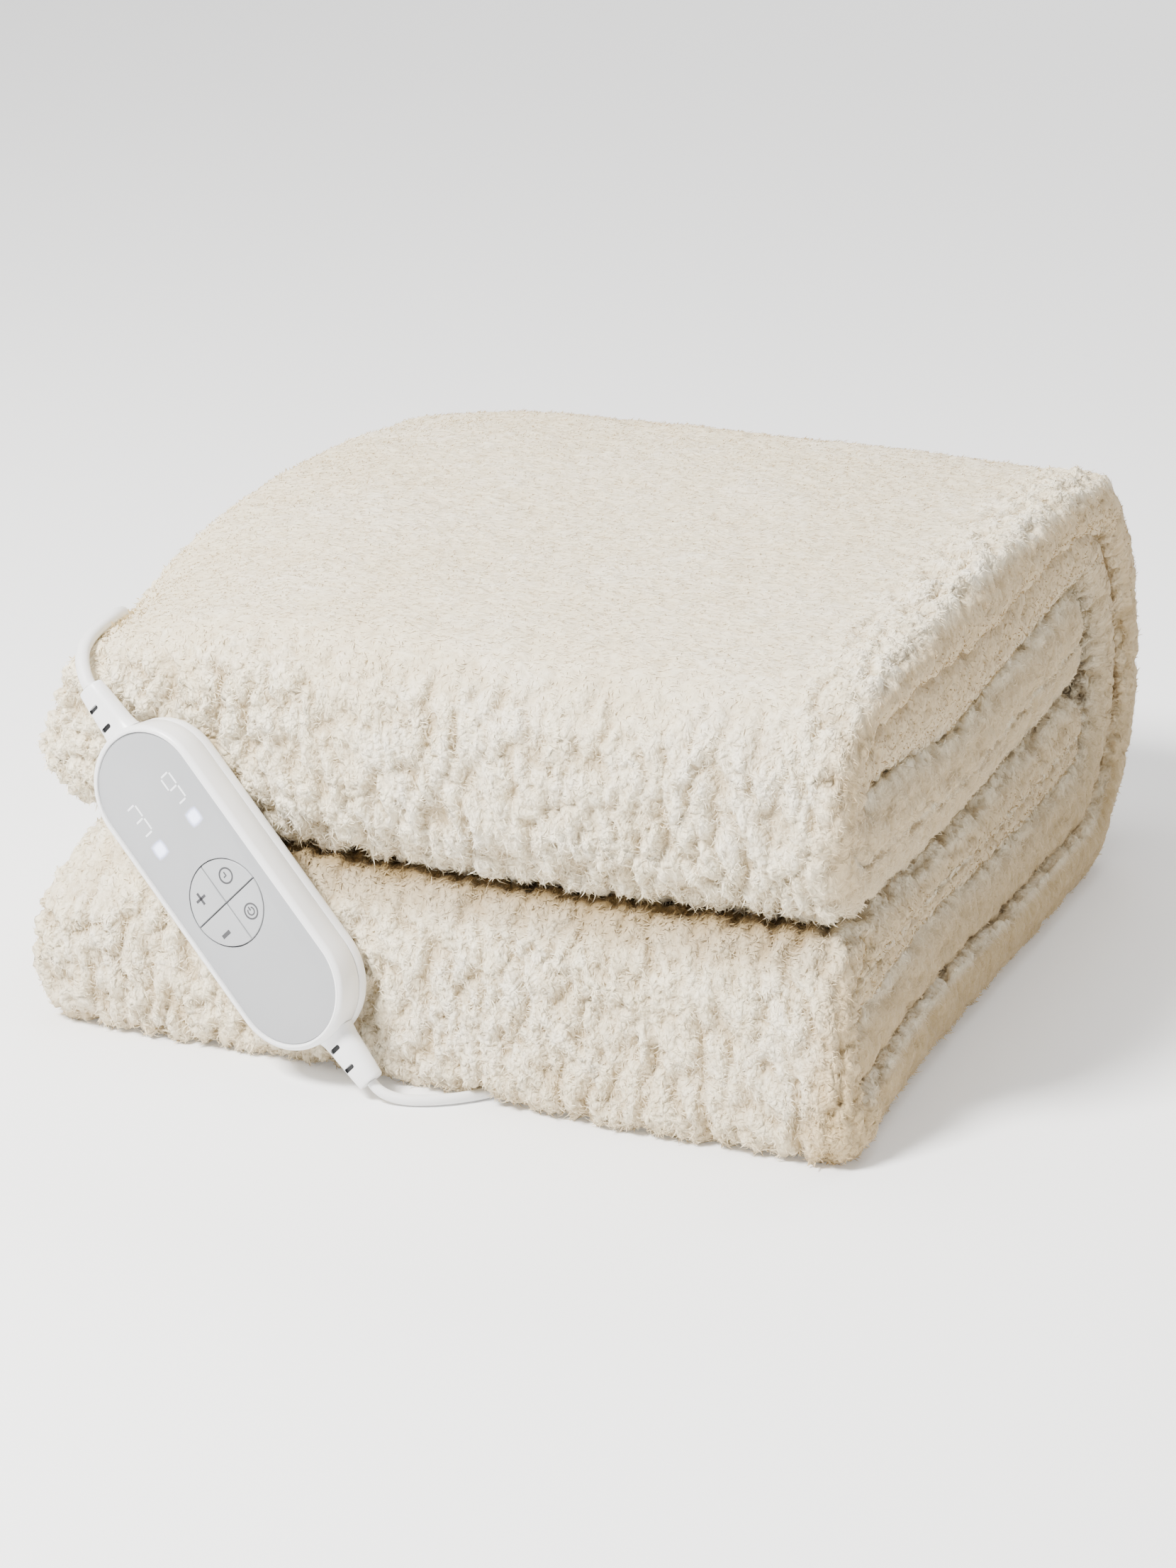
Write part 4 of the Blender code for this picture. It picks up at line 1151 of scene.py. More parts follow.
# Coarser outline of the whole section, slit and all.
def baseRing(rows):
    x, share, columns = ringSpans(rows)
    keep = set()
    for name, (start, stop) in columns.items():
        keep.update(range(start, stop, baseSettings["strides"][name]))
    keep = sorted(keep)
    fold = clothSettings["leftEnd"] + clothSettings["foldReach"]
    outer, inner = leafEdge(rows, 1.0), leafEdge(rows, -1.0)
    # Down the inner leaf's side of the slit, round its end and back along the outer leaf's side.
    innerTo, outerTo = (
        (leaf["tipX"] - leaf["beside"] - clothSettings["slitDepth"])[:, None] for leaf in (inner, outer))
    t = np.linspace(0.0, 1.0, baseSettings["slitSteps"])[1:]
    downX = innerTo + (fold - innerTo) * t
    backX = np.concatenate([np.full((len(rows), 1), fold), fold + (outerTo - fold) * t[:-1]], axis=1)
    shares = [share[:, keep], across(-inner["slit"], len(t)), across(outer["slit"], len(t))]
    return np.concatenate([x[:, keep], downX, backX], axis=1), np.concatenate(shares, axis=1)


# A grid of cells moved onto the points; wrap joins its last column to its first.
def gridMesh(name, points, wrap=False):
    rowCount, columnCount = points.shape[:2]
    if wrap:
        points = np.concatenate([points, points[:, :1]], axis=1)
    bm = bmesh.new()
    bmesh.ops.create_grid(
        bm, x_segments=columnCount - (0 if wrap else 1), y_segments=rowCount - 1, size=1.0)
    mesh = bpy.data.meshes.new(name)
    bm.to_mesh(mesh)
    bm.free()
    mesh.vertices.foreach_set("co", (points * mm).reshape(-1).astype(np.float32))
    mesh.flip_normals()
    mesh.update()
    return mesh


def setAttribute(mesh, name, values, kind="FLOAT"):
    layer = mesh.attributes.new(name, kind, "POINT")
    field = "vector" if kind == "FLOAT_VECTOR" else "value"
    layer.data.foreach_set(field, np.ascontiguousarray(values, np.float32).reshape(-1))


def makeBaseCloth(settings):
    stride = settings["rowStride"]
    rows = clothRow[::stride]
    if len(clothRow) % stride != 1:
        rows = np.concatenate([rows, clothRow[-1:]])
    points = liftedOverCord(clothPoints(rows, *baseRing(rows)))
    mesh = gridMesh("blanketCloth", points, True)
    bm = bmesh.new()
    bm.from_mesh(mesh)
    bmesh.ops.remove_doubles(bm, verts=bm.verts, dist=settings["merge"])
    bmesh.ops.holes_fill(bm, edges=[edge for edge in bm.edges if edge.is_boundary], sides=0)
    bmesh.ops.triangulate(bm, faces=[face for face in bm.faces if len(face.verts) > 4])
    bmesh.ops.recalc_face_normals(bm, faces=bm.faces)
    bm.normal_update()
    for vert in bm.verts:
        vert.co = vert.co - vert.normal * clothSettings["inset"] * mm
        vert.co.z = max(vert.co.z, settings["lowest"])
    bm.to_mesh(mesh)
    bm.free()
    mesh.shade_smooth()
    for name, value in settings["pile"].items():
        setAttribute(mesh, name, np.full(len(mesh.vertices), value))
    mesh.materials.append(fleece)
    return belongs(linked("blanketCloth", mesh), "root", "fleece", "blanket")


blanketCloth = makeBaseCloth(baseSettings)
print("base cloth made", len(blanketCloth.data.polygons))

# Pile: patches of the cloth's surface, raised into locks and curls by geometry nodes.

pileSettings = {
    "sunk": -0.0048,
    "curly": 0.0106,
    "brushedSunk": -0.0008,
    "brushed": 0.0014,
    "lowest": -0.0014,
    "swell": 0.0034,
    "swellNoise": (30.0, 1.5),
    "clearOfFloor": 0.0004,
}


def enabled(sockets, name):
    return [s for s in sockets if s.enabled and s.name == name][0]


def attributeSocket(tree, name, kind="FLOAT"):
    node = wire(tree, "GeometryNodeInputNamedAttribute", {"Name": name}, data_type=kind)
    return enabled(node.outputs, "Attribute")


def geometryTree(name):
    tree = bpy.data.node_groups.new(name, "GeometryNodeTree")
    for way in ("INPUT", "OUTPUT"):
        tree.interface.new_socket("Geometry", in_out=way, socket_type="NodeSocketGeometry")
    return tree, tree.nodes.new("NodeGroupInput"), tree.nodes.new("NodeGroupOutput")


def stored(tree, geometry, label, value):
    node = wire(tree, "GeometryNodeStoreNamedAttribute", {
        "Geometry": geometry, "Name": label}, data_type="FLOAT", domain="POINT")
    tree.links.new(value, enabled(node.inputs, "Value"))
    return node.outputs[0]


def aboveFloor(tree, geometry):
    place = wire(tree, "GeometryNodeInputPosition").outputs[0]
    x, y, z = wire(tree, "ShaderNodeSeparateXYZ", {0: place}).outputs
    kept = wire(tree, "ShaderNodeCombineXYZ", {
        0: x, 1: y, 2: maths(tree, "MAXIMUM", z, pileSettings["clearOfFloor"])})
    return wire(tree, "GeometryNodeSetPosition", {
        "Geometry": geometry, "Position": kept.outputs[0]}).outputs[0]


def pileNodes(settings):
    tree, start, finish = geometryTree("raisedPile")
    place = wire(tree, "GeometryNodeInputPosition").outputs[0]
    lay = attributeSocket(tree, "pileMap", "FLOAT_VECTOR")
    pattern = woolPattern(tree, place, lay, attributeSocket(tree, "curly"))
    curls, _, streak, curlyHere = pattern
    swell = maths(tree, "SUBTRACT", noise(tree, place, *settings["swellNoise"]), 0.5)
    raised = blended(
        tree, curlyHere,
        maths(tree, "MULTIPLY_ADD", streak, settings["brushed"], settings["brushedSunk"]),
        maths(tree, "MULTIPLY_ADD", curls, settings["curly"], settings["sunk"]))
    raised = maths(tree, "MULTIPLY_ADD", swell, settings["swell"], raised)
    raised = maths(tree, "MAXIMUM", raised, settings["lowest"])
    raised = maths(tree, "MULTIPLY", raised, attributeSocket(tree, "pile"))
    normal = attributeSocket(tree, "foldNormal", "FLOAT_VECTOR")
    offset = wire(tree, "ShaderNodeVectorMath", {0: normal, "Scale": raised}, operation="SCALE")
    lifted = wire(tree, "GeometryNodeSetPosition", {
        "Geometry": start.outputs[0], "Offset": offset.outputs[0]})
    toned = stored(tree, lifted.outputs[0], "woolTone", woolTone(tree, *pattern))
    tree.links.new(aboveFloor(tree, toned), finish.inputs[0])
    return tree


raisedPile = pileNodes(pileSettings)


def fleecePiece(name, mesh, nodes, material):
    made = linked(name, mesh)
    made.modifiers.new("shaped", "NODES").node_group = nodes
    bake(made, material)
    return belongs(made, "root", "fleece")


def makePatch(name, stations, span, stride):
    rows, columns = (sorted({*range(first, last, stride), last - 1}) for first, last in (stations, span))
    pick = np.ix_(rows, columns)
    mesh = gridMesh(name, clothGrid[pick])
    for label, values in pileMaps.items():
        setAttribute(mesh, label, values[pick], "FLOAT_VECTOR" if values.ndim == 3 else "FLOAT")
    mesh.shade_smooth()
    return fleecePiece(name, mesh, raisedPile, fleece)


def stationAt(along):
    return int(np.clip(np.searchsorted(clothAlong, along), 0, len(clothAlong) - 1))


# Where one patch ends and the next begins: millimetres beyond the end of a part of the cloth.
patchCuts = (
    ("upperInner", -42.0), ("top", 50.0), ("back", 6.0), ("bottom", -22.0), ("lowerFront", 42.0))


def makePatches():
    cuts = [stationAt(clothEnds[part] + beyond) for part, beyond in patchCuts]
    gapIn, topEnd, backEnd, toe, lowIn = cuts
    everything = len(clothAlong)
    # Stations along the cloth, span of the outline, and how many points are passed over.
    patches = {
        "pileUpperTucked": ((0, gapIn + 1), "outer", 4),
        "pileFrontTop": ((gapIn, topEnd + 1), "outer", 1),
        "pileBack": ((topEnd, backEnd + 1), "outer", 1),
        "pileUnder": ((backEnd, toe + 1), "outer", 2),
        "pileLowerFront": ((toe, lowIn + 1), "outer", 1),
        "pileLowerTucked": ((lowIn, everything), "outer", 4),
        "pileFoldUpper": ((0, everything // 2 + 1), "fold", 1),
        "pileFoldLower": ((everything // 2, everything), "fold", 1),
        "pileCreases": ((0, everything), "inner", 5),
        "pileOuterHem": ((0, everything), "outerHem", 1),
        "pileInnerHem": ((0, everything), "innerHem", 1),
    }
    return {name: makePatch(name, stations, ringColumns[span], stride)
            for name, (stations, span, stride) in patches.items()}


pilePatches = makePatches()
print("pile raised", {n: len(p.data.polygons) * 2 for n, p in pilePatches.items()})


# A tapering strip that rises, bends over and turns to one side.
def tuftShape(name, settings, curl):
    bm = bmesh.new()
    bmesh.ops.create_grid(bm, x_segments=2, y_segments=1, size=0.5)
    for vert in bm.verts:
        t = vert.co.x + 0.5
        half = settings["width"] / 2.0 if t < settings["squareTo"] else 0.0
        rise = settings["lift"] * math.sin(math.pi * settings["arch"] * t)
        vert.co.x = settings["length"] * t * (1.0 - settings["shortened"] * curl * t)
        vert.co.y = math.copysign(half, vert.co.y) + settings["bend"] * curl * t * t
        vert.co.z = settings["rooted"] + rise - settings["hollow"] * half
    bmesh.ops.remove_doubles(bm, verts=bm.verts, dist=1e-3)
    bmesh.ops.scale(bm, vec=(mm, mm, mm), verts=bm.verts)
    mesh = bpy.data.meshes.new(name)
    bm.to_mesh(mesh)
    bm.free()
    mesh.shade_smooth()
    setAttribute(mesh, "tip", [vert.co.x / (settings["length"] * mm) for vert in mesh.vertices])
    return bpy.data.objects.new(name, mesh)


tuftShapes = bpy.data.collections.new("tuftShapes")
for index, curl in enumerate(tuftSettings["curls"]):
    tuftShapes.objects.link(tuftShape(f"tuftShape{index}", tuftSettings, curl))


# Scatters tufts over the pile; turn is how far they stray from the combed way, brushed and curly.
def tuftNodes(name, density, seed, turn):
    settings = tuftSettings
    tree, start, finish = geometryTree(name)

    def chance(low, high, step):
        node = wire(tree, "FunctionNodeRandomValue", data_type="FLOAT")
        for label, value in (("Min", low), ("Max", high), ("Seed", seed + step)):
            enabled(node.inputs, label).default_value = value
        return enabled(node.outputs, "Value")

    curly = attributeSocket(tree, "curly")
    shown = spread(tree, attributeSocket(tree, "pile"), *settings["shownFrom"], (0.0, density))
    scattered = wire(tree, "GeometryNodeDistributePointsOnFaces", {
        "Mesh": start.outputs[0], "Density": shown, "Seed": seed})
    points = stored(tree, scattered.outputs["Points"], "ownTone", chance(0.0, 1.0, 5))
    upright = wire(tree, "FunctionNodeAlignRotationToVector", {
        "Vector": scattered.outputs["Normal"]}, axis="Z")
    combedWay = wire(tree, "FunctionNodeAlignRotationToVector", {
        "Rotation": upright.outputs[0], "Vector": attributeSocket(tree, "combed", "FLOAT_VECTOR")},
        axis="X", pivot_axis="Z")
    twist = maths(tree, "MULTIPLY", chance(-1.0, 1.0, 1), blended(tree, curly, *turn))
    steeper = blended(tree, curly, settings["flatTilt"], 1.0)
    tilt = maths(tree, "MULTIPLY", chance(*settings["tilt"], 2), steeper)
    angles = wire(tree, "ShaderNodeCombineXYZ", {0: chance(*settings["roll"], 3), 1: tilt, 2: twist})
    turning = wire(tree, "FunctionNodeEulerToRotation", {0: angles.outputs[0]})
    laid = wire(tree, "FunctionNodeRotateRotation", {
        "Rotation": combedWay.outputs[0], "Rotate By": turning.outputs[0]}, rotation_space="LOCAL")
    longer = maths(tree, "ADD", attributeSocket(tree, "reach"), 1.0)
    size = maths(tree, "MULTIPLY", chance(*settings["size"], 4), longer)
    shapes = wire(tree, "GeometryNodeCollectionInfo", {
        "Collection": tuftShapes, "Separate Children": True, "Reset Children": True})
    standing = wire(tree, "GeometryNodeInstanceOnPoints", {
        "Points": points, "Instance": shapes.outputs[0], "Pick Instance": True,
        "Rotation": laid.outputs[0], "Scale": size})
    whole = wire(tree, "GeometryNodeRealizeInstances", {"Geometry": standing.outputs[0]})
    tree.links.new(aboveFloor(tree, whole.outputs[0]), finish.inputs[0])
    return tree


# Patch they grow on, number to the square metre, seed and turn.
tuftGroups = {
    "tuftsFrontTop": ("pileFrontTop", 210000.0, 3, (0.6, 2.6)),
    "tuftsLowerFront": ("pileLowerFront", 240000.0, 11, (0.6, 2.8)),
    "tuftsBack": ("pileBack", 150000.0, 23, (0.6, 2.8)),
    "tuftsFoldUpper": ("pileFoldUpper", 150000.0, 37, (0.6, 2.8)),
    "tuftsFoldLower": ("pileFoldLower", 150000.0, 41, (0.6, 2.8)),
    "tuftsOuterHem": ("pileOuterHem", 190000.0, 53, (0.6, 2.4)),
    "tuftsInnerHem": ("pileInnerHem", 190000.0, 67, (0.6, 2.4)),
}


def makeTufts(name, patch, density, seed, turn):
    mesh = pilePatches[patch].data.copy()
    made = fleecePiece(name, mesh, tuftNodes(name, density, seed, turn), fleeceTufts)
    made.data.shade_smooth()
    return made


pileTufts = {name: makeTufts(name, *facts) for name, facts in tuftGroups.items()}
print("tufts grown", {n: len(p.data.polygons) * 2 for n, p in pileTufts.items()})

# Controller: two housing halves, a face plate, four keys, marks, lights and strain reliefs.


# Edges at the verts, each once and in their own order.
def edgesAt(verts):
    return list(dict.fromkeys(edge for vert in verts for edge in vert.link_edges))


# A long ring with round ends: a circle whose halves are drawn apart.
def stadiumRing(bm, radius, halfRun, height, segments=112):
    verts = bmesh.ops.create_circle(bm, cap_ends=False, segments=segments, radius=radius)["verts"]
    halfStep = Matrix.Rotation(math.pi / segments, 3, "Z")
    bmesh.ops.rotate(bm, matrix=halfStep, verts=verts)
    for vert in verts:
        vert.co.x += math.copysign(halfRun, vert.co.x)
        vert.co.z = height
    return edgesAt(verts)


# Bridges the rings one to the next and closes the first and the last.
def closedLoft(bm, rings):
    for near, far in zip(rings, rings[1:]):
        bmesh.ops.bridge_loops(bm, edges=near + far)
    for ring in (rings[0], rings[-1]):
        bmesh.ops.contextual_create(bm, geom=ring)


def stadiumLoft(profile):
    bm = bmesh.new()
    halfRun = controllerSettings["halfRun"]
    closedLoft(bm, [stadiumRing(bm, radius, halfRun, height) for radius, height in profile])
    return bm


# Profile points from a side wall over to a flat end, rounded.
def roundedProfile(radius, height, rounding, towards, steps=8):
    points = []
    for k in range(steps + 1):
        angle = math.pi / 2.0 * k / steps
        points.append((radius - rounding + rounding * math.cos(angle),
                       height - towards * (rounding - rounding * math.sin(angle))))
    return points


housingSettings = {
    "recess": ((27.45, -1.9), (27.45, 0.35), (27.65, 0.8), (28.0, 0.97), (28.6, 1.0)),
    "frontRounding": 2.7,
    "backRounding": 4.0,
    "wallPoint": -6.0,
    "seam": ((0.0, 0.75), (0.28, 0.22), (1.2, 0.2)),
    "sharp": 50.0,
}


def makeHousing(settings):
    radius, split = controllerSettings["radius"], controllerSettings["split"]
    rim = roundedProfile(radius, controllerSettings["front"], settings["frontRounding"], 1.0)
    front = [*settings["recess"], *rim[-2::-1], (radius, settings["wallPoint"]),
             *((radius - inward, split + off) for inward, off in settings["seam"])]
    back = [(radius - inward, split - off) for inward, off in settings["seam"][::-1]]
    back += roundedProfile(radius, controllerSettings["back"], settings["backRounding"], -1.0)
    halves = (("housingFront", front, "controller_front"), ("housingBack", back, "controller_back"))
    return {name: pieceFrom(stadiumLoft(profile), name, "whiteHousing", [node], controllerPlace,
                            sharp=settings["sharp"]) for name, profile, node in halves}


housing = makeHousing(housingSettings)


# Cuts a shape out of a piece, and keeps the result as its mesh.
def cutWith(target, bm, name):
    cutter = linked(name, meshFrom(bm, name, controllerPlace))
    step = target.modifiers.new(name, "BOOLEAN")
    step.operation = "DIFFERENCE"
    step.solver = "EXACT"
    step.object = cutter
    bake(target, target.data.materials[0])
    bpy.data.objects.remove(cutter, do_unlink=True)
    smoothed(target.data, edgeAngle)


def discPrism(radius, centreX, low, high, segments=96):
    bm = bmesh.new()
    bmesh.ops.create_cone(
        bm, cap_ends=True, segments=segments, radius1=radius, radius2=radius, depth=high - low)
    bmesh.ops.translate(bm, vec=(centreX, 0.0, (high + low) / 2.0), verts=bm.verts)
    return bm


plateSettings = {
    "radius": 27.2,
    "thickness": 1.5,
    "edge": ((0.0, -0.12), (0.05, -0.04), (0.14, 0.0)),
    "keypadCentre": 8.3,
    "keypadRadius": 20.0,
    "hole": (0.5, -4.0, 3.0),
    "well": (0.6, -4.4, 0.0),
}


def keypadDisc(wider, low, high):
    return discPrism(plateSettings["keypadRadius"] + wider, plateSettings["keypadCentre"], low, high)


def makePlate(settings):
    radius = settings["radius"]
    profile = [(radius, -settings["thickness"])]
    profile += [(radius - inward, height) for inward, height in settings["edge"]]
    plate = pieceFrom(stadiumLoft(profile), "facePlate", "greyFace", ["controller_plate"],
                      controllerPlace, slot="light_grey_plastic")
    cutWith(plate, keypadDisc(*settings["hole"]), "keypadHole")


makePlate(plateSettings)
cutWith(housing["housingFront"], keypadDisc(*plateSettings["well"]), "keyWell")

keySettings = {
    "height": 0.2,
    "thickness": 3.6,
    "clear": 0.1,
    "halfGap": 0.32,
    "softEdge": 0.42,
    "segments": 144,
}
# Body, name, solid and the quarter it fills, along and across.
keyQuarters = (
    ("timer_key", "keyTimer", "key_timer", -1.0, 1.0),
    ("power_key", "keyPower", "key_power", 1.0, 1.0),
    ("plus_key", "keyPlus", "key_plus", -1.0, -1.0),
    ("minus_key", "keyMinus", "key_minus", 1.0, -1.0),
)


# A quarter of the round keypad, with softened edges.
def makeKey(settings, body, name, node, along, across):
    top = settings["height"]
    bm = discPrism(plateSettings["keypadRadius"] - settings["clear"], 0.0, top - settings["thickness"],
                   top, settings["segments"])
    for normal in ((along, 0.0, 0.0), (0.0, across, 0.0)):
        kept = bmesh.ops.bisect_plane(
            bm, geom=bm.verts[:] + bm.edges[:] + bm.faces[:],
            plane_co=Vector(normal) * settings["halfGap"], plane_no=normal, clear_inner=True)
        edges = [e for e in kept["geom_cut"] if isinstance(e, bmesh.types.BMEdge)]
        bmesh.ops.contextual_create(bm, geom=edges)
    bmesh.ops.remove_doubles(bm, verts=bm.verts, dist=1e-4)
    rim = [e for e in bm.edges if all(abs(v.co.z - top) < 1e-3 for v in e.verts)]
    bmesh.ops.bevel(bm, geom=rim, offset=settings["softEdge"], affect="EDGES", segments=3, profile=0.5,
                    material=-1)
    bmesh.ops.translate(bm, vec=(plateSettings["keypadCentre"], 0.0, 0.0), verts=bm.verts)
    pieceFrom(bm, name, "greyKeys", [node], controllerPlace, body, "light_grey_plastic")


for facts in keyQuarters:
    makeKey(keySettings, *facts)

# Marks: raised by a hair on the keys and the face.

markSettings = {
    "thickness": 0.06,
    "wholeTurn": (0.0, 350.0),
    "timer": (-0.9, 8.6),
    "power": (18.8, 8.6),
    "plus": (-1.0, -10.2),
    "minus": (18.8, -10.1),
}


# A flat line of one width along the points, in the controller's own plane.
def strokeLine(bm, points, width, height, closed=False):
    line = [Vector((*p, height)) for p in points]
    before = [line[-1] if closed else line[0], *line[:-1]]
    after = [*line[1:], line[0] if closed else line[-1]]
    sides = []
    for first, last in zip(before, after):
        heading = (last - first).normalized()
        sides.append(Vector((-heading.y, heading.x, 0.0)) * width / 2.0)
    banks = [[point + side for point, side in zip(line, sides)],
             [point - side for point, side in zip(line, sides)]]
    if closed:
        banks = [[*bank, bank[0]] for bank in banks]
    strip = bmesh.ops.create_grid(bm, x_segments=len(banks[0]) - 1, y_segments=1, size=1.0)["verts"]
    for vert, place in zip(strip, banks[0] + banks[1]):
        vert.co = place
    if closed:
        bmesh.ops.remove_doubles(bm, verts=strip, dist=1e-5)
    faces = list(dict.fromkeys(f for v in strip if v.is_valid for f in v.link_faces))
    raised = bmesh.ops.extrude_face_region(bm, geom=faces)
    lifted = [v for v in raised["geom"] if isinstance(v, bmesh.types.BMVert)]
    bmesh.ops.translate(bm, vec=(0.0, 0.0, markSettings["thickness"]), verts=lifted)


def arcPoints(centre, radius, start, stop, steps=36):
    angles = [math.radians(start + (stop - start) * k / steps) for k in range(steps + 1)]
    return [(centre[0] + radius * math.cos(a), centre[1] + radius * math.sin(a)) for a in angles]


# Points given as steps from a centre.
def stepsFrom(centre, *steps):
    return [(centre[0] + x, centre[1] + y) for x, y in steps]


def makeMarks(settings):
    timer, power, plus, minus = (settings[key] for key in ("timer", "power", "plus", "minus"))
    marks = {
        "markTimer": ("timer_key", [
            (arcPoints(timer, 3.5, *settings["wholeTurn"]), 0.85, True),
            (stepsFrom(timer, (-1.9, 0.1), (0.1, 0.1), (0.1, -1.5)), 0.75, False)]),
        "markPower": ("power_key", [
            (arcPoints(power, 3.5, *settings["wholeTurn"]), 0.85, True),
            (arcPoints(power, 1.75, 215.0, 505.0), 0.7, False),
            (stepsFrom(power, (-2.3, 0.0), (-0.3, 0.0)), 0.75, False)]),
        "markPlus": ("plus_key", [
            (stepsFrom(plus, (-3.1, 0.0), (3.1, 0.0)), 1.25, False),
            (stepsFrom(plus, (0.0, -3.1), (0.0, 3.1)), 1.25, False)]),
        "markMinus": ("minus_key", [
            (stepsFrom(minus, (0.0, -2.6), (0.0, 2.6)), 1.9, False)]),
    }
    for name, (body, strokes) in marks.items():
        bm = bmesh.new()
        for points, width, closed in strokes:
            strokeLine(bm, points, width, keySettings["height"], closed)
        pieceFrom(bm, name, "greyMarks", (), controllerPlace, body, "light_grey_plastic")


makeMarks(markSettings)

lampSettings = {
    "places": {"lampLeft": (-30.4, -13.0), "lampRight": (-30.4, 13.0)},
    "half": 4.7,
    "height": 0.03,
    "squareness": 0.65,
    "fade": (0.32, 0.66),
    "stops": (0.0, 0.35, 0.8),
    "colours": ((0.345, 0.353, 0.367), (0.46, 0.49, 0.66), (0.78, 0.82, 1.0)),
    "light": (0.60, 0.68, 1.0, 1.0),
    "strength": 1.5,
    "roughness": 0.4,
}
digitSettings = {
    "places": {"digitThree": (-46.5, -13.0), "digitNine": (-46.5, 13.0)},
    "rise": 3.6,
    "half": 2.9,
    "clear": 0.7,
    "stroke": 0.85,
    "drift": (220.0, 2.0),
    "stops": (0.35, 0.65),
    "colours": ((0.70, 0.71, 0.73), (0.80, 0.81, 0.83)),
    "light": (0.9, 0.93, 1.0, 1.0),
    "strength": 0.35,
    "roughness": 0.4,
}
digitSegments = {
    "digitThree": ("top", "middle", "bottom", "upperRight", "lowerRight"),
    "digitNine": ("top", "middle", "bottom", "upperLeft", "upperRight", "lowerRight"),
}


# Lit from behind: its own colours and a light of its own, even or by an attribute.
def litMaterial(name, factor, settings):
    material, tree, shader = blank(name)
    if factor == "glow":
        lit = attributeValue(tree, "glow")
        strength = spread(tree, lit, 0.0, 1.0, (0.0, settings["strength"]))
    else:
        lit = noise(tree, objectPlace(tree), *settings["drift"])
        strength = settings["strength"]
    fill(tree, shader, {
        "Base Color": ramp(tree, lit, settings["stops"], settings["colours"]),
        "Emission Color": settings["light"], "Emission Strength": strength,
        "Roughness": settings["roughness"]})
    return material


lampGlow = litMaterial("lampGlow", "glow", lampSettings)
digitGlow = litMaterial("digitGlow", "even", digitSettings)


# A lit square behind a frosted face: a thin grid, bright in its middle and fading to its edge.
def makeLamp(name, centre, settings):
    half = settings["half"]
    bm = bmesh.new()
    bmesh.ops.create_grid(bm, x_segments=24, y_segments=24, size=half)
    bmesh.ops.translate(bm, vec=(*centre, settings["height"]), verts=bm.verts)
    start, width = settings["fade"]
    glow = []
    for vert in bm.verts:
        x, y = vert.co.x - centre[0], vert.co.y - centre[1]
        square = settings["squareness"] * max(abs(x), abs(y)) / half
        away = (1.0 - settings["squareness"]) * math.hypot(x, y) / half + square
        glow.append(1.0 - eased(min(max((away - start) / width, 0.0), 1.0)))
    lamp = pieceFrom(bm, name, lampGlow, (), controllerPlace, slot="light_grey_plastic")
    setAttribute(lamp.data, "glow", glow)


# A seven-segment figure that reads across the controller's length.
def makeDigit(name, centre, settings, segments):
    clear, rise = settings["clear"], settings["rise"]
    top, middle, bottom = (centre[0] + s * rise for s in (-2.0, 0.0, 2.0))
    left, right = centre[1] - settings["half"], centre[1] + settings["half"]
    ends = {
        "top": ((top, left + clear), (top, right - clear)),
        "middle": ((middle, left + clear), (middle, right - clear)),
        "bottom": ((bottom, left + clear), (bottom, right - clear)),
        "upperLeft": ((top + clear, left), (middle - clear, left)),
        "upperRight": ((top + clear, right), (middle - clear, right)),
        "lowerRight": ((middle + clear, right), (bottom - clear, right)),
    }
    bm = bmesh.new()
    for segment in segments:
        strokeLine(bm, ends[segment], settings["stroke"], 0.0)
    pieceFrom(bm, name, digitGlow, (), controllerPlace, slot="light_grey_plastic")


for name, centre in lampSettings["places"].items():
    makeLamp(name, centre, lampSettings)
for name, segments in digitSegments.items():
    makeDigit(name, digitSettings["places"][name], digitSettings, segments)

bootSettings = {
    "base": (9.4, 6.4),
    "tip": (6.1, 4.9),
    "square": 2.5,
    "segments": 56,
    "stations": ((-1.2, 0.88), (0.4, 0.88), (0.45, 1.0), (0.9, 1.0), (1.7, 0.965), (6.0, 0.93),
                 (12.0, 0.955), (20.0, 0.985), (26.2, 1.0), (27.1, 0.97), (27.5, 0.90)),
    "slots": (7.0, 17.5),
    "slotSize": (2.2, 6.5, 2.4),
    "slotRounding": 0.95,
    "slotShift": 2.2,
    "darkTo": 0.42,
    "darkSlot": (1.3, 5.5, 6.6),
    "darkBelow": (0.93, 0.5),
}


# Half of the strain relief's width and thickness, at a distance from the housing.
def bootHalf(along):
    share = min(max(along / controllerSettings["bootLength"], 0.0), 1.0)
    return [base + (tip - base) * share for base, tip in zip(bootSettings["base"], bootSettings["tip"])]


# A rounded bar that cuts one slot into one face.
def slotCutter(settings, end, along, side):
    length, wide, deep = settings["slotSize"]
    bm = bmesh.new()
    bmesh.ops.create_cube(bm, size=1.0)
    bmesh.ops.scale(bm, vec=(length, wide, 2.0 * deep), verts=bm.verts)
    upright = [e for e in bm.edges if abs(e.verts[0].co.z - e.verts[1].co.z) > deep]
    bmesh.ops.bevel(bm, geom=upright, offset=settings["slotRounding"], affect="EDGES", segments=4,
                    profile=0.5, material=-1)
    bmesh.ops.translate(bm, vec=(
        end * (controllerSettings["bootStart"] + along), -side * settings["slotShift"],
        controllerSettings["bootDepth"] + side * bootHalf(along)[1]), verts=bm.verts)
    return bm


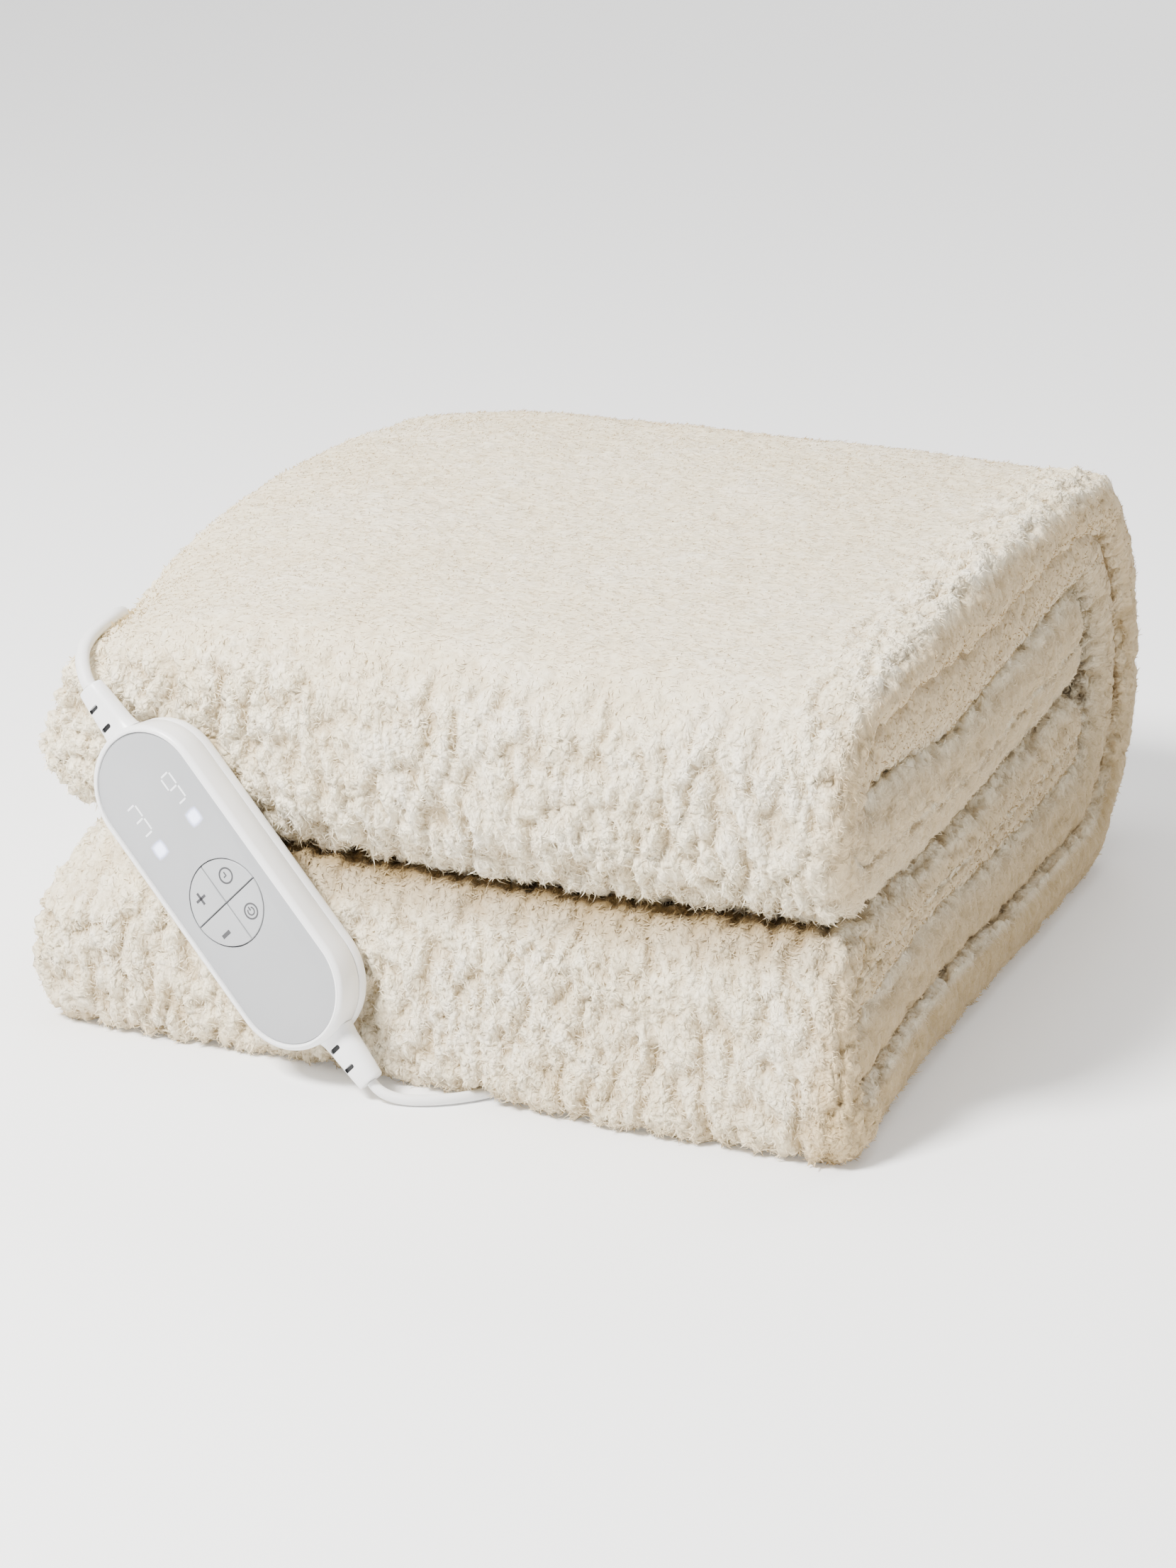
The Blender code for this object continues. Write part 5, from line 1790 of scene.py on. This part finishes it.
# Painted shade: a near-black finish where the slots go in and where the strain relief enters the
# housing, standing in for the shadow there.
def paintSlotShadow(boot, settings, end):
    boot.data.materials.append(finishes["paintedSlotShade"])
    inverse = controllerPlace.inverted()
    besideSlot, slotWidth, slotReach = settings["darkSlot"]
    part, skin = settings["darkBelow"]
    for face in boot.data.polygons:
        centre = inverse @ face.center / mm
        along = end * centre.x - controllerSettings["bootStart"]
        depth = centre.z - controllerSettings["bootDepth"]
        inside = abs(depth) < part * bootHalf(along)[1] - skin and abs(centre.y) < slotWidth
        inSlot = any(abs(along - slot) < besideSlot for slot in settings["slots"])
        if along < settings["darkTo"] or (
                inside and inSlot and math.hypot(centre.y, depth) < slotReach):
            face.material_index = 1


# A tapered, slightly waisted sleeve with a collar at its base and open slots on both faces.
def makeBoot(settings, name, end, node):
    square = settings["square"]
    bm = bmesh.new()
    rings = []
    for along, swell in settings["stations"]:
        wide, thick = (half * swell for half in bootHalf(along))
        verts = bmesh.ops.create_circle(
            bm, cap_ends=False, segments=settings["segments"], radius=1.0)["verts"]
        for vert in verts:
            x, y = vert.co.x, vert.co.y
            norm = (abs(x) ** square + abs(y) ** square) ** (1.0 / square)
            vert.co = (end * (controllerSettings["bootStart"] + along), wide * x / norm,
                       controllerSettings["bootDepth"] + thick * y / norm)
        rings.append(edgesAt(verts))
    closedLoft(bm, rings)
    boot = pieceFrom(bm, name, "whiteHousing", [node], controllerPlace)
    for index, along in enumerate(settings["slots"]):
        for side in (1.0, -1.0):
            cutWith(boot, slotCutter(settings, end, along, side), f"slot{index}")
    paintSlotShadow(boot, settings, end)


makeBoot(bootSettings, "strainUpper", -1.0, "boot_upper")
makeBoot(bootSettings, "strainLower", 1.0, "boot_lower")
print("controller made")

# Ends of the cords: a sleeve into the cloth, a plug with its strain relief and pins, and a tie.


# A round piece spun from a profile of distance along its heading and radius.
def turnedPiece(name, profile, start, heading, replaced=(), finish="whiteHousing",
                slot="white_plastic", segments=40):
    bm = bmesh.new()
    verts = [bm.verts.new((radius, 0.0, along)) for along, radius in profile]
    edges = [bm.edges.new(pair) for pair in zip(verts, verts[1:])]
    bmesh.ops.spin(
        bm, geom=verts + edges, cent=(0, 0, 0), axis=(0, 0, 1), angle=2.0 * math.pi,
        steps=segments, use_merge=True)
    bmesh.ops.remove_doubles(bm, verts=bm.verts, dist=1e-4)
    turn = Vector((0.0, 0.0, 1.0)).rotation_difference(Vector(heading)).to_matrix()
    bmesh.ops.rotate(bm, matrix=turn, verts=bm.verts)
    bmesh.ops.translate(bm, vec=start, verts=bm.verts)
    return pieceFrom(bm, name, finish, replaced, slot=slot)


ribSettings = {
    "edge": 0.4,
    "plainEnd": 3.0,
    "foot": 0.42,
    "bottom": 0.2,
}


# A taper with round grooves between its plain ends.
def ribbedProfile(length, first, last, ribs, depth):
    edge, plain = ribSettings["edge"], ribSettings["plainEnd"]
    pitch = (length - 2.0 * plain) / ribs
    foot, bottom = ribSettings["foot"] * pitch, ribSettings["bottom"] * pitch
    points = [(0.0, 0.0), (0.0, first - edge), (edge, first)]
    for k in range(ribs):
        middle = plain + pitch * (k + 0.5)
        radius = first + (last - first) * middle / length
        points += [(middle - foot, radius), (middle - bottom, radius - depth),
                   (middle + bottom, radius - depth), (middle + foot, radius)]
    return points + [(length - edge, last), (length, last - edge), (length, 0.0)]


sleeveShape = (26.0, 4.2, 5.0, 4, 0.45)  # length, first and last radius, grooves and their depth
leadSleeve = turnedPiece(
    "leadSleeve", ribbedProfile(*sleeveShape), leadSettings["mouth"], leadSettings["heading"],
    ["lead_sleeve"])

plugSettings = {
    "body": (36.0, 27.0, 13.6),
    "cornerRounding": 6.0,
    "faceRounding": 2.4,
    "bootShape": (24.0, 3.6, 5.4, 5, 0.6),
    "joint": 0.3,
    "gripSize": (0.8, 1.4, 7.0),
    "gripRounding": 0.35,
    "grips": (5, 7.5, 2.9),
    "gripSunk": 0.15,
    "pinSpacing": 18.6,
    "pinRadius": 2.0,
    "pinProfile": ((0.0, 0.0), (0.0, 1.0), (17.4, 1.0), (18.1, 0.93), (18.65, 0.72), (19.0, 0.4),
                   (19.0, 0.0)),
    "collar": ((0.0, 0.22), (8.0, 0.22), (8.4, 0.02)),
}


def bevelled(bm, edges, offset, segments):
    return bmesh.ops.bevel(bm, geom=edges, offset=offset, affect="EDGES", segments=segments,
                           profile=0.5, material=-1)["faces"]


def makePlugBody(settings, x, front, height):
    wide, length, thick = settings["body"]
    bm = bmesh.new()
    bmesh.ops.create_cube(bm, size=1.0)
    bmesh.ops.scale(bm, vec=(wide, length, thick), verts=bm.verts)
    bevelled(bm, [e for e in bm.edges if abs(e.verts[0].co.z - e.verts[1].co.z) > 1.0],
             settings["cornerRounding"], 8)
    flat = [e for e in bm.edges if abs(e.verts[0].co.z - e.verts[1].co.z) < 0.01]
    bevelled(bm, [e for e in flat if len({round(f.normal.z) for f in e.link_faces}) > 1],
             settings["faceRounding"], 5)
    bmesh.ops.translate(bm, vec=(x, front - length / 2.0, height), verts=bm.verts)
    return pieceFrom(bm, "plugBody", "whiteHousing", ["plug_body"])


# Short upright ribs on both sides of the plug's body.
def makeGrips(settings, x, front, height):
    count, first, step = settings["grips"]
    out = settings["body"][0] / 2.0 - settings["gripSunk"]
    bm = bmesh.new()
    for side in (-1.0, 1.0):
        for k in range(count):
            grip = bmesh.ops.create_cube(bm, size=1.0)["verts"]
            bmesh.ops.scale(bm, vec=settings["gripSize"], verts=grip)
            faces = bevelled(bm, edgesAt(grip), settings["gripRounding"], 2)
            verts = list(dict.fromkeys(v for f in faces for v in f.verts))
            bmesh.ops.translate(bm, vec=(x + side * out, front - first - step * k, height), verts=verts)
    return pieceFrom(bm, "plugGrips", "whiteHousing")


def makePlug(settings):
    x, back, height = (mainsSettings[key] for key in ("plugX", "plugBack", "plugHeight"))
    forward = (0.0, -1.0, 0.0)
    front = back - settings["bootShape"][0] - settings["joint"]
    face = front - settings["body"][1]
    radius = settings["pinRadius"]
    pieces = [
        turnedPiece("plugStrain", ribbedProfile(*settings["bootShape"]), (x, back, height), forward,
                    ["plug_boot"]),
        makePlugBody(settings, x, front, height), makeGrips(settings, x, front, height)]
    pin = [(along, radius * share) for along, share in settings["pinProfile"]]
    collar = [(0.0, 0.0), *((along, radius + more) for along, more in settings["collar"])]
    for name, side, node in (
            ("plugPinLeft", -1.0, "plug_pin_left"), ("plugPinRight", 1.0, "plug_pin_right")):
        pinX = x + side * settings["pinSpacing"] / 2.0
        pieces.append(turnedPiece(name, pin, (pinX, face - settings["joint"], height), forward, [node],
                                  "platedPins", "plated_metal"))
        pieces.append(turnedPiece(name + "Sleeve", collar, (pinX, face - 0.1, height), forward))
    return pieces


plugPieces = makePlug(plugSettings)

tieSettings = {
    "angle": 215.0,
    "radius": 7.9,
    "width": 9.0,
    "flatBelow": -7.0,
    "bundle": (27.5, 7.4),
    "thickness": 0.7,
}


# A soft strap once round the bundle of turns.
def makeTie(settings):
    width = settings["width"]
    out, height = settings["bundle"]
    bm = bmesh.new()
    ring = bmesh.ops.create_circle(bm, cap_ends=False, segments=40, radius=settings["radius"])["verts"]
    drawn = bmesh.ops.extrude_edge_only(bm, edges=edgesAt(ring))
    far = [v for v in drawn["geom"] if isinstance(v, bmesh.types.BMVert)]
    bmesh.ops.translate(bm, vec=(0.0, 0.0, width), verts=far)
    bmesh.ops.translate(bm, vec=(0.0, 0.0, -width / 2.0), verts=bm.verts)
    bmesh.ops.rotate(bm, matrix=Matrix.Rotation(math.pi / 2.0, 3, "X"), verts=bm.verts)
    for vert in bm.verts:
        vert.co.z = max(vert.co.z, settings["flatBelow"])
    bmesh.ops.translate(bm, vec=(out, 0.0, height), verts=bm.verts)
    turn = Matrix.Rotation(math.radians(settings["angle"]), 3, "Z")
    bmesh.ops.rotate(bm, matrix=turn, verts=bm.verts)
    bmesh.ops.translate(bm, vec=(*mainsSettings["coilCentre"], 0.0), verts=bm.verts)
    bmesh.ops.solidify(bm, geom=bm.faces[:], thickness=settings["thickness"])
    return pieceFrom(bm, "coilTie", "tieStrap", slot="cord_white")


coilTie = makeTie(tieSettings)

# Floor and light.

stageSettings = {
    "floor": (0.88, 0.88, 0.88),
    "floorHalf": 6.0,
    "drift": (2.0, 2.0),
    "driftMore": 1.01,
    "stops": (0.3, 0.7),
    "roughness": 0.95,
    "gloss": 0.1,
    "white": (1.0, 1.0, 1.0, 1.0),
    "floorGlow": 0.18,
    "worldStrength": 0.30,
}
# Place, target, size, power and colour.
lights = {
    "keyLight": ((-0.8, -1.4, 1.9), (0.0, -0.05, 0.1), (0.6, 0.6), 200.0, (1.0, 0.985, 0.96)),
    "overheadLight": ((-0.1, 0.2, 1.9), (0.0, 0.0, 0.2), (1.4, 1.0), 22.0, (1.0, 1.0, 1.0)),
    "sideLight": ((2.0, -0.6, 0.9), (0.1, 0.0, 0.1), (1.4, 1.0), 9.0, (1.0, 0.97, 0.92)),
    "backLight": ((0.0, 4.2, 3.2), (0.0, 3.2, 0.0), (4.0, 2.0), 190.0, (1.0, 1.0, 1.0)),
}


def makeFloor(settings):
    bm = bmesh.new()
    bmesh.ops.create_grid(bm, x_segments=4, y_segments=4, size=settings["floorHalf"])
    mesh = bpy.data.meshes.new("paleFloor")
    bm.to_mesh(mesh)
    bm.free()
    material, tree, shader = blank("paleFloor")
    shades = (settings["floor"], tuple(c * settings["driftMore"] for c in settings["floor"]))
    drift = noise(tree, objectPlace(tree), *settings["drift"])
    fill(tree, shader, {
        "Base Color": ramp(tree, drift, settings["stops"], shades), "Roughness": settings["roughness"],
        "Specular IOR Level": settings["gloss"], "Emission Color": settings["white"],
        "Emission Strength": settings["floorGlow"]})
    mesh.materials.append(material)
    linked("paleFloor", mesh)


def makeLight(name, place, target, size, power, colour):
    data = bpy.data.lights.new(name, "AREA")
    data.shape = "RECTANGLE"
    data.size, data.size_y = size
    data.energy = power
    data.color = colour
    made = linked(name, data)
    made.location = place
    made.rotation_euler = (Vector(target) - Vector(place)).to_track_quat("-Z", "Y").to_euler()


def makeWorld(settings):
    world = bpy.data.worlds.new("softStudio")
    world.use_nodes = True
    back = world.node_tree.nodes["Background"]
    back.inputs["Color"].default_value = settings["white"]
    back.inputs["Strength"].default_value = settings["worldStrength"]
    bpy.context.scene.world = world


makeFloor(stageSettings)
makeWorld(stageSettings)
for name, facts in lights.items():
    makeLight(name, *facts)
print("stage made")
